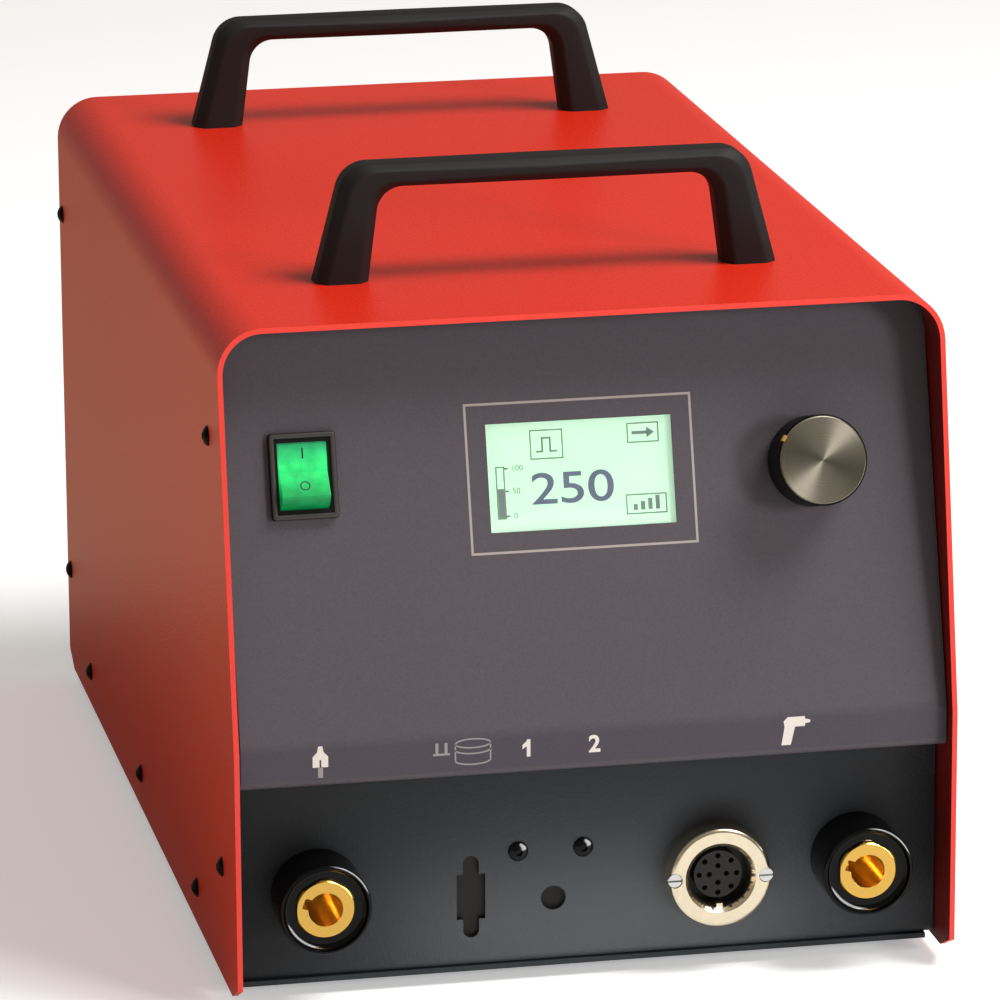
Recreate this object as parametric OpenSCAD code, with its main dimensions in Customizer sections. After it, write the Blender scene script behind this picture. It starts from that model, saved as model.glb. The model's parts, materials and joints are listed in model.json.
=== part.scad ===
// Stud welding power unit: sheet-metal case, console, sockets, handles and discharge circuit.
// Millimetres. +Z is up, the front faces -Y, and the origin is under the middle, at the feet.

/* [Cover] */
// Outside width of the cover
cover_w = 273; // [260:1:300]
// Depth of the cover, front edge to rear edge
cover_d = 456; // [440:1:500]
// Height of the cover
cover_h = 250; // [245:1:280]
// Thickness of the cover sheet
sheet_t = 2; // [1.5:0.1:2.5]
// Outside radius of the two top bends
corner_r = 17; // [10:0.5:22]
// Height of the kink in the front edge of the sides
kink_h = 95.5; // [85:0.5:105]
// How far the front edge leans back above the kink
slant_run = 27; // [20:0.5:32]
// Length of the small bevel at the lower corners of the sides
bevel_run = 13; // [8:0.5:16]
// Height of the same bevel
bevel_rise = 6; // [4:0.5:8]

/* [Panels] */
// Thickness of the inner panels and the tray
panel_t = 2; // [1.5:0.1:2.5]
// Outside radius of their bends
bend_r = 3; // [2.8:0.1:4]
// Side clearance between panels and cover
side_gap = 0.5; // [0.3:0.1:1]
// Height of the fold between console face and icon strip
fold_h = 96; // [92:0.5:102]
// Height of the icon strip
strip_h = 15.2; // [13:0.2:18]
// Recess of the icon strip behind the cover's front edge
console_recess = 6.6; // [5:0.1:9]
// Lean of the console face from vertical, in degrees
console_tilt = 15.7; // [13:0.1:17]
// Thickness of the printed console foil
foil_t = 0.4; // [0.3:0.05:0.6]
// Recess of the lower panel behind the cover's front edge
lower_recess = 21.4; // [20:0.1:24]
// Recess of the rear panel in front of the cover's rear edge
rear_recess = 20; // [18:0.5:24]
// Height of the tray's side flanges
tray_flange = 30; // [26:1:36]

/* [Handles] */
// Outside length of a handle at its feet
handle_span = 177; // [160:1:190]
// Height of a handle
handle_h = 44.6; // [42:0.2:54]
// Thickness of a handle, front to back
handle_depth = 17; // [16:0.5:22]
// Width of a handle leg at its foot
handle_foot = 20.5; // [19:0.5:24]
// Thickness of the grip bar
handle_grip = 9; // [8:0.2:14]
// Distance of the front handle from the cover's front edge
front_handle_y = 96.4; // [90:0.2:110]
// Distance of the rear handle from the cover's rear edge
rear_handle_y = 68; // [60:0.5:80]

/* [Power switch] */
// Distance of the switch's middle from the cover's side
switch_in = 32.5; // [30:0.5:40]
// Place of the switch up the console face
switch_up = 99.7; // [92:0.1:105]
// Width of the switch bezel
bezel_w = 25; // [24.5:0.1:27]
// Length of the switch bezel
bezel_l = 32; // [31.6:0.1:34]
// Width of the rocker
rocker_w = 18; // [16:0.1:18.6]
// Swing radius of the rocker's ends
rocker_r = 13.1; // [12.6:0.1:14.3]
// Tilt of the rocker from on to off, in degrees
rocker_tilt = 28; // [20:0.5:30]

/* [Display] */
// Width of the visible window
window_w = 70; // [64:0.5:72]
// Height of the visible window
window_h = 40; // [36:0.5:41]
// Place of the display up the console face
display_up = 94.7; // [88:0.1:98]

/* [Knob] */
// Diameter of the knob
knob_d = 34; // [28:0.5:38]
// Length of the knob
knob_l = 18; // [16:0.5:22]
// Distance of the knob's middle from the cover's side
knob_in = 49.2; // [45:0.1:55]
// Place of the knob up the console face
knob_up = 94.4; // [88:0.1:97]
// Push travel of the knob
push_travel = 0.6; // [0.3:0.05:0.8]
// Diameter of the encoder shaft
shaft_d = 6; // [5:0.1:6.2]

/* [Welding sockets] */
// Distance of each welding socket's middle from the cover's side
socket_in = 33.5; // [31:0.5:40]
// Height of the welding sockets
socket_z = 35; // [32:0.2:40]
// Outside diameter of a socket housing
socket_d = 34.6; // [33:0.1:37]
// How far a housing stands out of the lower panel
socket_out = 21; // [18:0.2:21]
// Diameter of the plug bore
bore_d = 13; // [9:0.1:13.4]
// Depth of the plug bore
bore_depth = 27.6; // [22:0.2:29]
// Width across the flats of the brass contact
contact_af = 21.3; // [20:0.1:22]

/* [Control socket] */
// Distance of the control socket's middle from the right welding socket's
control_gap = 54.3; // [48:0.1:58]
// Height of the control socket
control_z = 33.2; // [31:0.1:38]
// Outside diameter of its metal shell
control_d = 38.8; // [38:0.1:42]
// Diameter of its mouth
control_mouth_d = 23.6; // [22:0.1:25]
// How far the shell stands out
control_out = 10.5; // [9:0.1:13]

/* [Fan and inlet] */
// Side of the square fan frame
fan_size = 92; // [80:1:96]
// Depth of the fan frame
fan_depth = 25; // [24:0.5:30]
// Distance of the fan's middle from the cover's side
fan_in = 81.5; // [74:0.5:90]
// Height of the fan's middle
fan_z = 165; // [160:0.5:172]
// Number of fan blades
fan_blades = 7; // [5:1:9]
// Distance of the mains inlet's middle from the cover's side
inlet_in = 61.5; // [50:0.5:66]
// Height of the mains inlet's middle
inlet_z = 92; // [88:0.5:100]
// Sliding travel of the fuse drawer
drawer_travel = 16; // [10:0.5:17]

/* [Inside] */
// Gap between neighbouring capacitor cans
can_gap = 6; // [5:0.5:10]
// Height of a capacitor can
can_h = 140; // [130:1:150]
// Gap between the outer cans and the tray's sides
can_side = 14; // [12:0.5:16]
// Outside diameter of the transformer
toroid_d = 118; // [100:1:120]
// Height of the transformer
toroid_h = 52; // [40:1:70]

/* [Feet] */
// Height of the rubber feet below the cover
foot_h = 5; // [4:0.25:6]
// Diameter of the rubber feet
foot_d = 22; // [18:0.5:26]

/* [Hidden] */
$fn = 64;

// Places across the case, from the cover's sides
socket_x = cover_w / 2 - socket_in;
control_x = socket_x - control_gap;
switch_x = switch_in - cover_w / 2;
knob_x = cover_w / 2 - knob_in;
fan_x = cover_w / 2 - fan_in;
inlet_x = inlet_in - cover_w / 2;

// Case levels and planes
front_y = -cover_d / 2;
rear_y = cover_d / 2;
base_z = foot_h;
top_z = base_z + cover_h;
inner_w = cover_w - 2 * sheet_t - 2 * side_gap;
floor_z = base_z + panel_t;
roof_gap = 1;
roof_h = cover_h - sheet_t - roof_gap;
through = 1;
fit = 0.05;
slip = 0.1;

// Fasteners: M4 button heads, M3 and M6
m4_r = 2;
m4_clear_r = 2.2;
m4_head_r = 3.8;
m4_head_h = 2.2;
m4_key = 2.5;
m3_r = 1.5;
m3_clear_r = 1.6;
m3_head_r = 2.7;
m6_r = 3;
m6_clear_r = 3.2;
m6_head_r = 5;
m6_head_h = 4;
grip_length = 5;

// Console
strip_z = fold_h - strip_h;
console_top_y = console_recess + (roof_h - fold_h) * tan(console_tilt);
console_length = (roof_h - fold_h) / cos(console_tilt);
console_flange = 20;
roof_flange = 12;
lip = 12;
foil_margin = 1;
display_margin = 2;
flange_screw_in = 11.4;
flange_screw_up = 116.6;
side_x = inner_w / 2 - panel_t / 2;

// Cover screws on one side, as distance from the front edge and height
rear_screw_in = 9.5;
low_screw_z = 44;
tray_flange_in = 30;
high_screw_z = 201.5;
tray_screw_z = 15;
tray_screw_front = 96;
tray_screw_rear = 68;
console_screw = [
    console_recess + flange_screw_up * sin(console_tilt) + flange_screw_in * cos(console_tilt),
    fold_h + flange_screw_up * cos(console_tilt) - flange_screw_in * sin(console_tilt)];
lower_screw = [lower_recess + flange_screw_in, low_screw_z];
rear_screws = [for (z = [low_screw_z, high_screw_z]) [cover_d - rear_screw_in, z]];
tray_screws = [for (i = [0:2])
    [tray_screw_front + i / 2 * (cover_d - tray_screw_front - tray_screw_rear), tray_screw_z]];
side_screws = concat([console_screw, lower_screw], rear_screws, tray_screws);

// Feet
foot_side = 31.5;
foot_in = [60, 45];
foot_x = cover_w / 2 - foot_side;
foot_spots = [for (x = [-foot_x, foot_x], y = [front_y + foot_in[0], rear_y - foot_in[1]]) [x, y]];
foot_seat = 2;

// Handles
handle_rows = [front_y + front_handle_y, rear_y - rear_handle_y];
handle_screw_x = handle_span / 2 - handle_foot / 2;
handle_bevel = 4;
handle_outer_lean = 0.265;
handle_inner_lean = 0.13;
handle_outer_r = 12;
handle_inner_r = 10;
handle_turn_steps = 8;
handle_insert_depth = 14;

// Switch
bezel_t = 2.2;
bezel_lip = 0.8;
pivot_in = 6.1;
rocker_gap = 0.35;
switch_side_wall = 1.4;
switch_end_wall = 0.9;
switch_body_w = rocker_w + 2 * (rocker_gap + switch_side_wall);
switch_body_l = 2 * (rocker_r + rocker_gap + switch_end_wall);
rocker_mouth = 2 * (sqrt(pow(rocker_r, 2) - pow(pivot_in - bezel_lip, 2)) + rocker_gap);
switch_depth = 24;
switch_well = 9;
pivot_pin_r = 1.5;
pivot_pin_l = 1.2;
rocker_sink = 0.3;
rocker_skirt = 84;
rocker_keel = 3;

// Control board stack, measured inwards from the front of the console sheet
board_front = 10.4;
board_t = 1.6;
board_margin = [15, 21];
board_x = [-window_w / 2 - board_margin[0], knob_x + board_margin[1]];
board_part_h = 2.5;
board_h = 76;
stud_l = 16;
spacer_r = 3;
spacer_inset = 4;
spacer_spots = [for (x = [board_x[0] + spacer_inset, board_x[1] - spacer_inset], s = [-1, 1])
    [x, display_up + s * (board_h / 2 - spacer_inset)]];
module_w = window_w + 10;
module_h = window_h + 14;

// Encoder and knob
shaft_r = shaft_d / 2;
bush_r = shaft_r + 1.5;
bush_out = 4.2;
encoder_side = 14;
encoder_well_r = shaft_r + 1.2;
encoder_well = [3, 9.6];
plunger_z = [7.2, 8.6];
knob_gap = push_travel + 0.9;
knob_base = foil_t + knob_gap;
knob_top = knob_base + knob_l;
knob_bevel = 0.8;
cap_t = 1;
cap_rim = 0.75;
cap_r = knob_d / 2 - cap_rim;
knob_nut_r = 9;
nut_t = 2.5;
nut_af = 12;

// Length of a cut that passes right through a socket
deep_cut = 40;

// Welding sockets
socket_edge = 1.2;
socket_face = 3;
dish_rim = 1.3;
dish_round = 2.6;
dish_r = socket_d / 2 - dish_rim;
socket_nut_af = 34;
neck_r = 13;
neck_in = 10;
contact_body_r = 10.5;
contact_rise = 1.2;
contact_front = socket_out - contact_rise;
contact_shoulder = neck_in + 2.6;
contact_round = 0.75;
contact_chamfer = 0.8;
contact_round_r = contact_af / 2 + contact_round;
hex_seat = 12;
stud_r = 5;
stud_end = contact_shoulder + 18;
strap_t = 3;
keyway_w = 4.2;
keyway_deep = 2.2;
keyway_angle = 160;
stud_nut_af = 16;
stud_nut_h = 6;

// Control socket
control_neck_r = 14;
control_neck_in = 8;
control_rear = 10;
insert_r = control_mouth_d / 2 - 2.6;
insert_recess = 5;
contact_hole_r = 1.05;
control_screw_edge = 1.9;
control_screw_x = control_d / 2 - control_screw_edge;
control_screw_sink = 2.4;
control_screw_head = 2;
control_sink = [1.8, 2.2];
contact_inset = [2, 5.9];
contact_sink = 5;
contact_rings = [[8, insert_r - contact_inset[0]], [4, insert_r - contact_inset[1]]];

// Blanked cut-outs in the lower panel
dsub_x = -44.6;
dsub_z = 29.2;
dsub_w = 10.8;
dsub_h = 17.6;
dsub_slot_w = 6;
dsub_slot_l = 32;
blank_hole_x = -13.2;
blank_hole_z = 26.6;
blank_hole_r = 4.7;
blank_screw_z = 45.8;
blank_screw_x = [-26.6, -1.8];
blank_t = 1.5;
blank_x = [-56, 7];
blank_zs = [9, 54];

// Fan
fan_duct_r = fan_size / 2 - 2.8;
fan_hole = fan_size * 0.448;
fan_hub_r = 18;
fan_tip_gap = 1;
fan_strut_t = 5;
fan_axle_r = 1.5;
rotor_z = [panel_t + 3, panel_t + fan_depth - fan_strut_t - 0.5];
wire_r = 1;
guard_t = 2.4 * wire_r;
guard_rings = [14, 22, 30, 38];
fan_screw_grip = 12;
slot_z = 62;
slot_w = 4;
slot_l = 44;
slot_pitch = 10;

// Mains inlet, measured outwards from the rear panel
inlet_flange = [50, 33];
inlet_flange_t = 3;
inlet_body = [27.6, 29.4];
inlet_depth = 26;
plug_w = 24.4;
plug_h = 16.6;
plug_up = 5;
plug_corner = 4;
plug_floor = 15;
inlet_screw_x = 20;
drawer_w = 24;
drawer_h = 7.6;
drawer_up = -9;
drawer_in = 20;
pin_w = 2;
pin_h = 4;
pin_x = 7;
pin_spots = [[-pin_x, plug_up - 2], [pin_x, plug_up - 2], [0, plug_up + 2]];
pin_tail = 8;

// Energy store and discharge path
can_pitch = (inner_w - 2 * can_side + can_gap) / 3;
can_d = can_pitch - can_gap;
can_share = 0.4;
can_start = 12.6;
can_y = can_start + can_share * cover_d;
clip_t = 1.6;
clip_h = 18;
clip_ear = [16, 12, 1.5];
clip_ear_y = can_d / 2 + 7;
can_ends = [can_y - clip_ear_y - clip_ear[1] / 2, can_y + clip_ear_y + clip_ear[1] / 2];
can_spots = [-can_pitch, 0, can_pitch];
can_mid_y = front_y + can_y;
can_top = floor_z + can_h;
terminal_y = 16;
terminal_r = 8;
terminal_h = 6;
bar_w = 20;
bar_z = can_top + terminal_h;
earth_strap_w = 18;
strap_y = lower_recess + contact_shoulder + strap_t / 2;
sink_w = 50;
sink_gap = 4;
sink_y = [foot_in[0] + m4_r + sink_gap, can_ends[0] - sink_gap / 2];
sink_h = 40;
sink_base = 6;
fin_t = 2;
fin_pitch = 6;
scr_w = 34;
scr_inset = 4;
scr_cap_in = [6, 10];
scr_y = [sink_y[0] + scr_inset, sink_y[1] - scr_inset];
scr_h = 28;
scr_pad = [16, 14];
scr_pads = [scr_y[0] + scr_pad[1], scr_y[1] - scr_pad[1]];
pad_h = 3;
pad_top = panel_t + sink_h + scr_h + pad_h;
pad_reach = 7;
strap_level = 96;
strap_drop = 8;
bolt_af = 10;
bolt_h = 4;
bolt_in = 9;
bar_end = 12;
strap_end = 14;
feed_out = 5;
feed_x = socket_x + feed_out;
feed_w = 16;

// Charging side
toroid_side = 13;
toroid_share = 0.45;
toroid_mid = [toroid_side + toroid_d / 2 - inner_w / 2,
    can_ends[1] + toroid_share * (cover_d - rear_recess - panel_t - can_ends[1])];
toroid_hole_r = 20;
toroid_round = 10;
clamp_edge = 16;
clamp_t = 2;
clamp_bolt_r = 4;
clamp_nut_af = 13;
clamp_nut_h = 6;
charger_gap = 11;
charger_side = 10;
charger_front = 16;
charger_end = 60;
charger_x = [toroid_mid[0] + toroid_d / 2 + charger_gap, inner_w / 2 - charger_side];
charger_y = [can_ends[1] + charger_front, cover_d - charger_end];
cooling_h = 36;
charger_up = 10;
pillar_r = 4;
pillar_inset = 7;

function unit(v) = v / norm(v);
function left_of(v) = [-v[1], v[0]];
function ray(angle, length) = length * [sin(angle), cos(angle)];
function reversed(list) = [for (i = [len(list) - 1:-1:0]) list[i]];

// Arc of a bend at p1, as seen d to the left of the path, where r is the path's own bend radius
function bend_arc(p0, p1, p2, r, d, steps = 6) =
    let (a = unit(p1 - p0), b = unit(p2 - p1))
    let (turn = sign(a[0] * b[1] - a[1] * b[0]), angle = acos(a * b))
    let (middle = p1 - a * r * tan(angle / 2) + left_of(a) * r * turn)
    let (out = -left_of(a) * turn, start = atan2(out[1], out[0]))
    [for (i = [0:steps])
        let (t = start + turn * angle * i / steps)
        middle + (r - turn * d) * [cos(t), sin(t)]];

// A sheet's side: its path moved d to the left, with every bend rounded
function sheet_side(path, r, d) =
    let (n = len(path))
    concat(
        [path[0] + left_of(unit(path[1] - path[0])) * d],
        n < 3 ? [] : [for (i = [1:n - 2]) each bend_arc(path[i - 1], path[i], path[i + 1], r, d)],
        [path[n - 1] + left_of(unit(path[n - 1] - path[n - 2])) * d]);

// Bent sheet in outline, between d0 and d1 to the left of its path
module sheet(path, d0, d1, r = bend_r)
    polygon(concat(sheet_side(path, r, d0), reversed(sheet_side(path, r, d1))));

// Extrusions whose outline is drawn in Y and Z, or in X and Z
module along_x(w) rotate([90, 0, 90]) linear_extrude(w, center = true) children();
module along_y(d) rotate([90, 0, 0]) linear_extrude(d, center = true) children();

// Frames: the console face, the lower panel and the rear panel, each with +Z pointing out of it
module on_console(x, up)
    translate([0, front_y + console_recess, base_z + fold_h])
        rotate([90 - console_tilt, 0, 0]) translate([x, up, 0]) children();
module on_lower(x, z)
    translate([x, front_y + lower_recess, base_z + z]) rotate([90, 0, 0]) children();
module on_rear(x, z)
    translate([x, rear_y - rear_recess, base_z + z]) rotate([90, 0, 180]) children();
module both_sides() {
    children();
    mirror([1, 0, 0]) children();
}

// Rounded-top outline of the case, standing on its base
module hood_outline(w, h, r) {
    translate([-w / 2, 0]) square([w, h - r]);
    translate([-w / 2 + r, 0]) square([w - 2 * r, h]);
    for (s = [-1, 1]) translate([s * (w / 2 - r), h - r]) circle(r);
}

// Room inside the cover, less its clearance and a margin
module hood_room(margin = 0)
    translate([0, 0, base_z]) along_y(cover_d)
        hood_outline(inner_w - 2 * margin, roof_h - margin, corner_r - sheet_t - side_gap - margin);

module box(w, l, h, r) {
    linear_extrude(h) {
        square([w - 2 * r, l], center = true);
        square([w, l - 2 * r], center = true);
        for (x = [-1, 1], y = [-1, 1]) translate([x * (w / 2 - r), y * (l / 2 - r)]) circle(r);
    }
}

module tube(r, hole_r, h)
    difference() {
        cylinder(r = r, h = h);
        translate([0, 0, -through]) cylinder(r = hole_r, h = h + 2 * through);
    }

module hex(af, h) cylinder(d = af / cos(30), h = h, $fn = 6);

// Button-head screw: its head stands on z = 0 and its shank runs down
module button_screw(length) {
    dome_r = (m4_head_r * m4_head_r + m4_head_h * m4_head_h) / (2 * m4_head_h) + 0.4;
    difference() {
        intersection() {
            cylinder(r = m4_head_r, h = m4_head_h);
            translate([0, 0, m4_head_h - dome_r]) sphere(dome_r);
        }
        translate([0, 0, m4_head_h - 1.4]) hex(m4_key, 2);
    }
    translate([0, 0, -length]) cylinder(r = m4_r, h = length + 0.5);
}

// Cylinders across the case at the cover screws of one side
module side_holes(r, spots)
    for (s = spots) translate([0, front_y + s[0], base_z + s[1]]) rotate([0, 90, 0])
        cylinder(r = r, h = cover_w + 2, center = true);

module cover() color("firebrick")
    difference() {
        intersection() {
            translate([0, 0, base_z]) along_y(cover_d) difference() {
                hood_outline(cover_w, cover_h, corner_r);
                translate([0, -through])
                    hood_outline(cover_w - 2 * sheet_t, cover_h - sheet_t + through, corner_r - sheet_t);
            }
            translate([0, front_y, base_z]) along_x(cover_w + 2) polygon([
                [bevel_run, 0], [0, bevel_rise], [0, kink_h], [slant_run, cover_h],
                [cover_d, cover_h], [cover_d, bevel_rise], [cover_d - bevel_run, 0]]);
        }
        side_holes(m4_clear_r, side_screws);
        for (y = handle_rows, x = [-handle_screw_x, handle_screw_x])
            translate([x, y, top_z - sheet_t - through]) cylinder(r = m6_clear_r, h = sheet_t + 2 * through);
    }

module base_tray() color("dimgray") {
    flange_y = [lower_recess + tray_flange_in, cover_d - rear_recess - panel_t - side_gap];
    xo = inner_w / 2;
    difference() {
        union() {
            translate([0, front_y + (flange_y[0] + flange_y[1]) / 2, base_z])
                along_y(flange_y[1] - flange_y[0])
                    sheet([[-xo, tray_flange], [-xo, 0], [xo, 0], [xo, tray_flange]], 0, panel_t);
            translate([-xo + bend_r, front_y + lower_recess, base_z])
                cube([2 * (xo - bend_r), cover_d - bevel_run - lower_recess, panel_t]);
        }
        side_holes(m4_r + fit, tray_screws);
        for (p = foot_spots) translate([p[0], p[1], base_z - through])
            cylinder(r = m4_r + fit, h = panel_t + 2 * through);
    }
}

module lower_panel() color("slategray") {
    flange_w = 24;
    difference() {
        union() {
            translate([0, front_y, base_z]) along_x(inner_w)
                sheet([[lower_recess + lip, strip_z], [lower_recess, strip_z],
                    [lower_recess, panel_t], [lower_recess + flange_w, panel_t]], 0, panel_t);
            both_sides() translate([side_x, front_y, base_z]) along_x(panel_t)
                translate([lower_recess + panel_t / 2, panel_t + bend_r])
                    square([flange_w - panel_t / 2, strip_z - panel_t - 2 * bend_r]);
        }
        for (x = [-socket_x, socket_x]) on_lower(x, socket_z) translate([0, 0, -panel_t - through])
            cylinder(r = neck_r + slip, h = panel_t + 2 * through);
        on_lower(control_x, control_z) translate([0, 0, -panel_t - through]) {
            cylinder(r = control_neck_r + slip, h = panel_t + 2 * through);
            for (s = [-1, 1]) translate([s * control_screw_x, 0, 0])
                cylinder(r = m3_r + fit, h = panel_t + 2 * through);
        }
        on_lower(dsub_x, dsub_z) translate([0, 0, -panel_t - through]) linear_extrude(panel_t + 2 * through) {
            square([dsub_w, dsub_h], center = true);
            square([dsub_slot_w, dsub_slot_l - dsub_slot_w], center = true);
            for (s = [-1, 1]) translate([0, s * (dsub_slot_l - dsub_slot_w) / 2]) circle(d = dsub_slot_w);
        }
        on_lower(blank_hole_x, blank_hole_z) translate([0, 0, -panel_t - through])
            cylinder(r = blank_hole_r, h = panel_t + 2 * through);
        for (x = blank_screw_x) on_lower(x, blank_screw_z) translate([0, 0, -panel_t - through])
            cylinder(r = m4_clear_r, h = panel_t + 2 * through);
        side_holes(m4_r + fit, [lower_screw]);
    }
}

// Front face of the console sheet in Y and Z, from roof flange to lip
console_path = [[console_top_y + roof_flange, roof_h], [console_top_y, roof_h],
    [console_recess, fold_h], [console_recess, strip_z], [lower_recess + lip, strip_z]];

// A point on the console face in Y and Z, at a distance up from the fold
function console_at(up) = [console_recess + up * sin(console_tilt), fold_h + up * cos(console_tilt)];

module console_panel() color("gray") {
    cut = panel_t + 2 * through;
    difference() {
        union() {
            intersection() {
                translate([0, front_y, base_z]) along_x(inner_w) sheet(console_path, 0, panel_t);
                hood_room();
            }
            both_sides() translate([side_x, front_y, base_z]) along_x(panel_t)
                sheet([console_at(console_length - corner_r - 3), console_at(bend_r)],
                    panel_t / 2, console_flange);
            for (p = spacer_spots) on_console(p[0], p[1]) translate([0, 0, -stud_l])
                cylinder(r = m3_r, h = stud_l - panel_t / 2);
        }
        on_console(switch_x, switch_up) translate([0, 0, -panel_t - through])
            linear_extrude(cut) square([switch_body_w + 2 * slip, switch_body_l + 2 * slip], center = true);
        on_console(0, display_up) translate([0, 0, -panel_t - through])
            linear_extrude(cut) square([window_w + 2 * display_margin, window_h + 2 * display_margin], center = true);
        on_console(knob_x, knob_up) translate([0, 0, -panel_t - through])
            cylinder(r = bush_r + slip, h = cut);
        side_holes(m4_r + fit, [console_screw]);
    }
}

module console_foil() color("dimgray")
    difference() {
        intersection() {
            translate([0, front_y, base_z]) along_x(inner_w)
                sheet([console_at(console_length - bend_r), [console_recess, fold_h],
                    [console_recess, strip_z + bend_r]], -foil_t, 0);
            hood_room(foil_margin);
        }
        on_console(switch_x, switch_up) translate([0, 0, -through])
            linear_extrude(3 * through) square([switch_body_w + 2 * slip, switch_body_l + 2 * slip], center = true);
        on_console(0, display_up) translate([0, 0, -through])
            linear_extrude(3 * through) square([window_w, window_h], center = true);
        on_console(knob_x, knob_up) translate([0, 0, -through]) cylinder(r = bush_r + slip, h = 3 * through);
    }

module rear_panel() color("dimgray") {
    face = cover_d - rear_recess - panel_t;
    lip_end = cover_d - side_gap - 1.5;
    difference() {
        union() {
            intersection() {
                translate([0, front_y, base_z]) along_x(inner_w)
                    sheet([[cover_d - bevel_run, panel_t], [face, panel_t], [face, roof_h], [lip_end, roof_h]],
                        -panel_t, 0);
                hood_room();
            }
            both_sides() translate([side_x, front_y, base_z]) along_x(panel_t)
                translate([face + panel_t / 2, bevel_rise + 1])
                    square([lip_end - face - panel_t / 2, roof_h - corner_r - bevel_rise - 1]);
        }
        side_holes(m4_r + fit, rear_screws);
        on_rear(fan_x, fan_z) translate([0, 0, -panel_t - through]) {
            cylinder(r = fan_duct_r, h = panel_t + 2 * through);
            for (x = [-1, 1], y = [-1, 1]) translate([x * fan_hole, y * fan_hole, 0])
                cylinder(r = m4_clear_r, h = panel_t + 2 * through);
        }
        on_rear(inlet_x, inlet_z) translate([0, 0, -panel_t - through]) {
            linear_extrude(panel_t + 2 * through)
                square([inlet_body[0] + 2 * slip, inlet_body[1] + 2 * slip], center = true);
            for (s = [-1, 1]) translate([s * inlet_screw_x, 0, 0])
                cylinder(r = m3_r + fit, h = panel_t + 2 * through);
        }
        // Outlet slots under the fan
        for (i = [-4:4]) on_rear(fan_x + i * slot_pitch, slot_z) translate([0, 0, -panel_t - through])
            linear_extrude(panel_t + 2 * through) {
                square([slot_w, slot_l], center = true);
                for (s = [-1, 1]) translate([0, s * slot_l / 2]) circle(d = slot_w);
            }
    }
}

// Outer and inner outline of half a handle: up the leaning leg, round the corner, along to the middle
function handle_edge(x, z, lean, r) =
    let (foot = [x, 0], corner = [x - lean * z, z], middle = [0, z])
    concat([foot], bend_arc(foot, corner, middle, r, 0, handle_turn_steps), [middle]);
handle_outer = handle_edge(handle_span / 2, handle_h, handle_outer_lean, handle_outer_r);
handle_inner = handle_edge(handle_span / 2 - handle_foot, handle_h - handle_grip,
    handle_inner_lean, handle_inner_r);

// Bevelled section from an outer to an inner point of the outline
function handle_section(outer, inner) =
    let (w = norm(inner - outer), way = (inner - outer) / w)
    let (b = handle_depth / 2, c = min(handle_bevel, w / 3))
    [for (q = [[0, c - b], [0, b - c], [c, b], [w - c, b], [w, b - c], [w, c - b], [w - c, -b], [c, -b]])
        let (p = outer + way * q[0]) [p[0], q[1], p[1]]];

// All sections, from the right foot to the left one
function flipped(p) = [-p[0], p[1]];
handle_sections = let (last = len(handle_outer) - 1) concat(
    [for (i = [0:last]) handle_section(handle_outer[i], handle_inner[i])],
    [for (i = [last - 1:-1:0]) handle_section(flipped(handle_outer[i]), flipped(handle_inner[i]))]);

module handle(y) color([0.12, 0.12, 0.13]) {
    ring = 8;
    rows = len(handle_sections);
    points = [for (section = handle_sections) each section];
    faces = concat(
        [[for (j = [0:ring - 1]) j]],
        [for (i = [0:rows - 2], j = [0:ring - 1])
            let (k = (j + 1) % ring)
            [i * ring + j, (i + 1) * ring + j, (i + 1) * ring + k, i * ring + k]],
        [[for (j = [ring - 1:-1:0]) (rows - 1) * ring + j]]);
    translate([0, y, top_z]) difference() {
        polyhedron(points, faces);
        for (x = [-handle_screw_x, handle_screw_x]) translate([x, 0, -through])
            cylinder(r = m6_r + fit, h = handle_insert_depth + through);
    }
}
module front_handle() handle(handle_rows[0]);
module rear_handle() handle(handle_rows[1]);

module handle_screws() color("silver")
    for (y = handle_rows, x = [-handle_screw_x, handle_screw_x]) translate([x, y, top_z - sheet_t]) {
        translate([0, 0, -m6_head_h]) difference() {
            cylinder(r = m6_head_r, h = m6_head_h);
            translate([0, 0, -through]) hex(grip_length, 2 + through);
        }
        cylinder(r = m6_r, h = sheet_t + handle_insert_depth - 2);
    }

module cover_screws() color([0.1, 0.1, 0.1])
    both_sides() for (s = side_screws) translate([cover_w / 2, front_y + s[0], base_z + s[1]])
        rotate([0, 90, 0]) button_screw(sheet_t + side_gap + panel_t + 2);

module rubber_feet() color([0.15, 0.15, 0.15])
    for (p = foot_spots) translate([p[0], p[1], 0]) difference() {
        cylinder(r1 = foot_d / 2 - 1, r2 = foot_d / 2, h = foot_h);
        translate([0, 0, -through]) cylinder(r = m4_head_r + 1, h = foot_seat + through);
        cylinder(r = m4_clear_r, h = foot_h + through);
    }

module foot_screws() color("silver")
    for (p = foot_spots) translate([p[0], p[1], foot_seat]) {
        translate([0, 0, -1.5]) cylinder(r = m4_head_r, h = 1.5);
        cylinder(r = m4_r, h = foot_h - foot_seat + panel_t + 1.5);
    }

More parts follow.
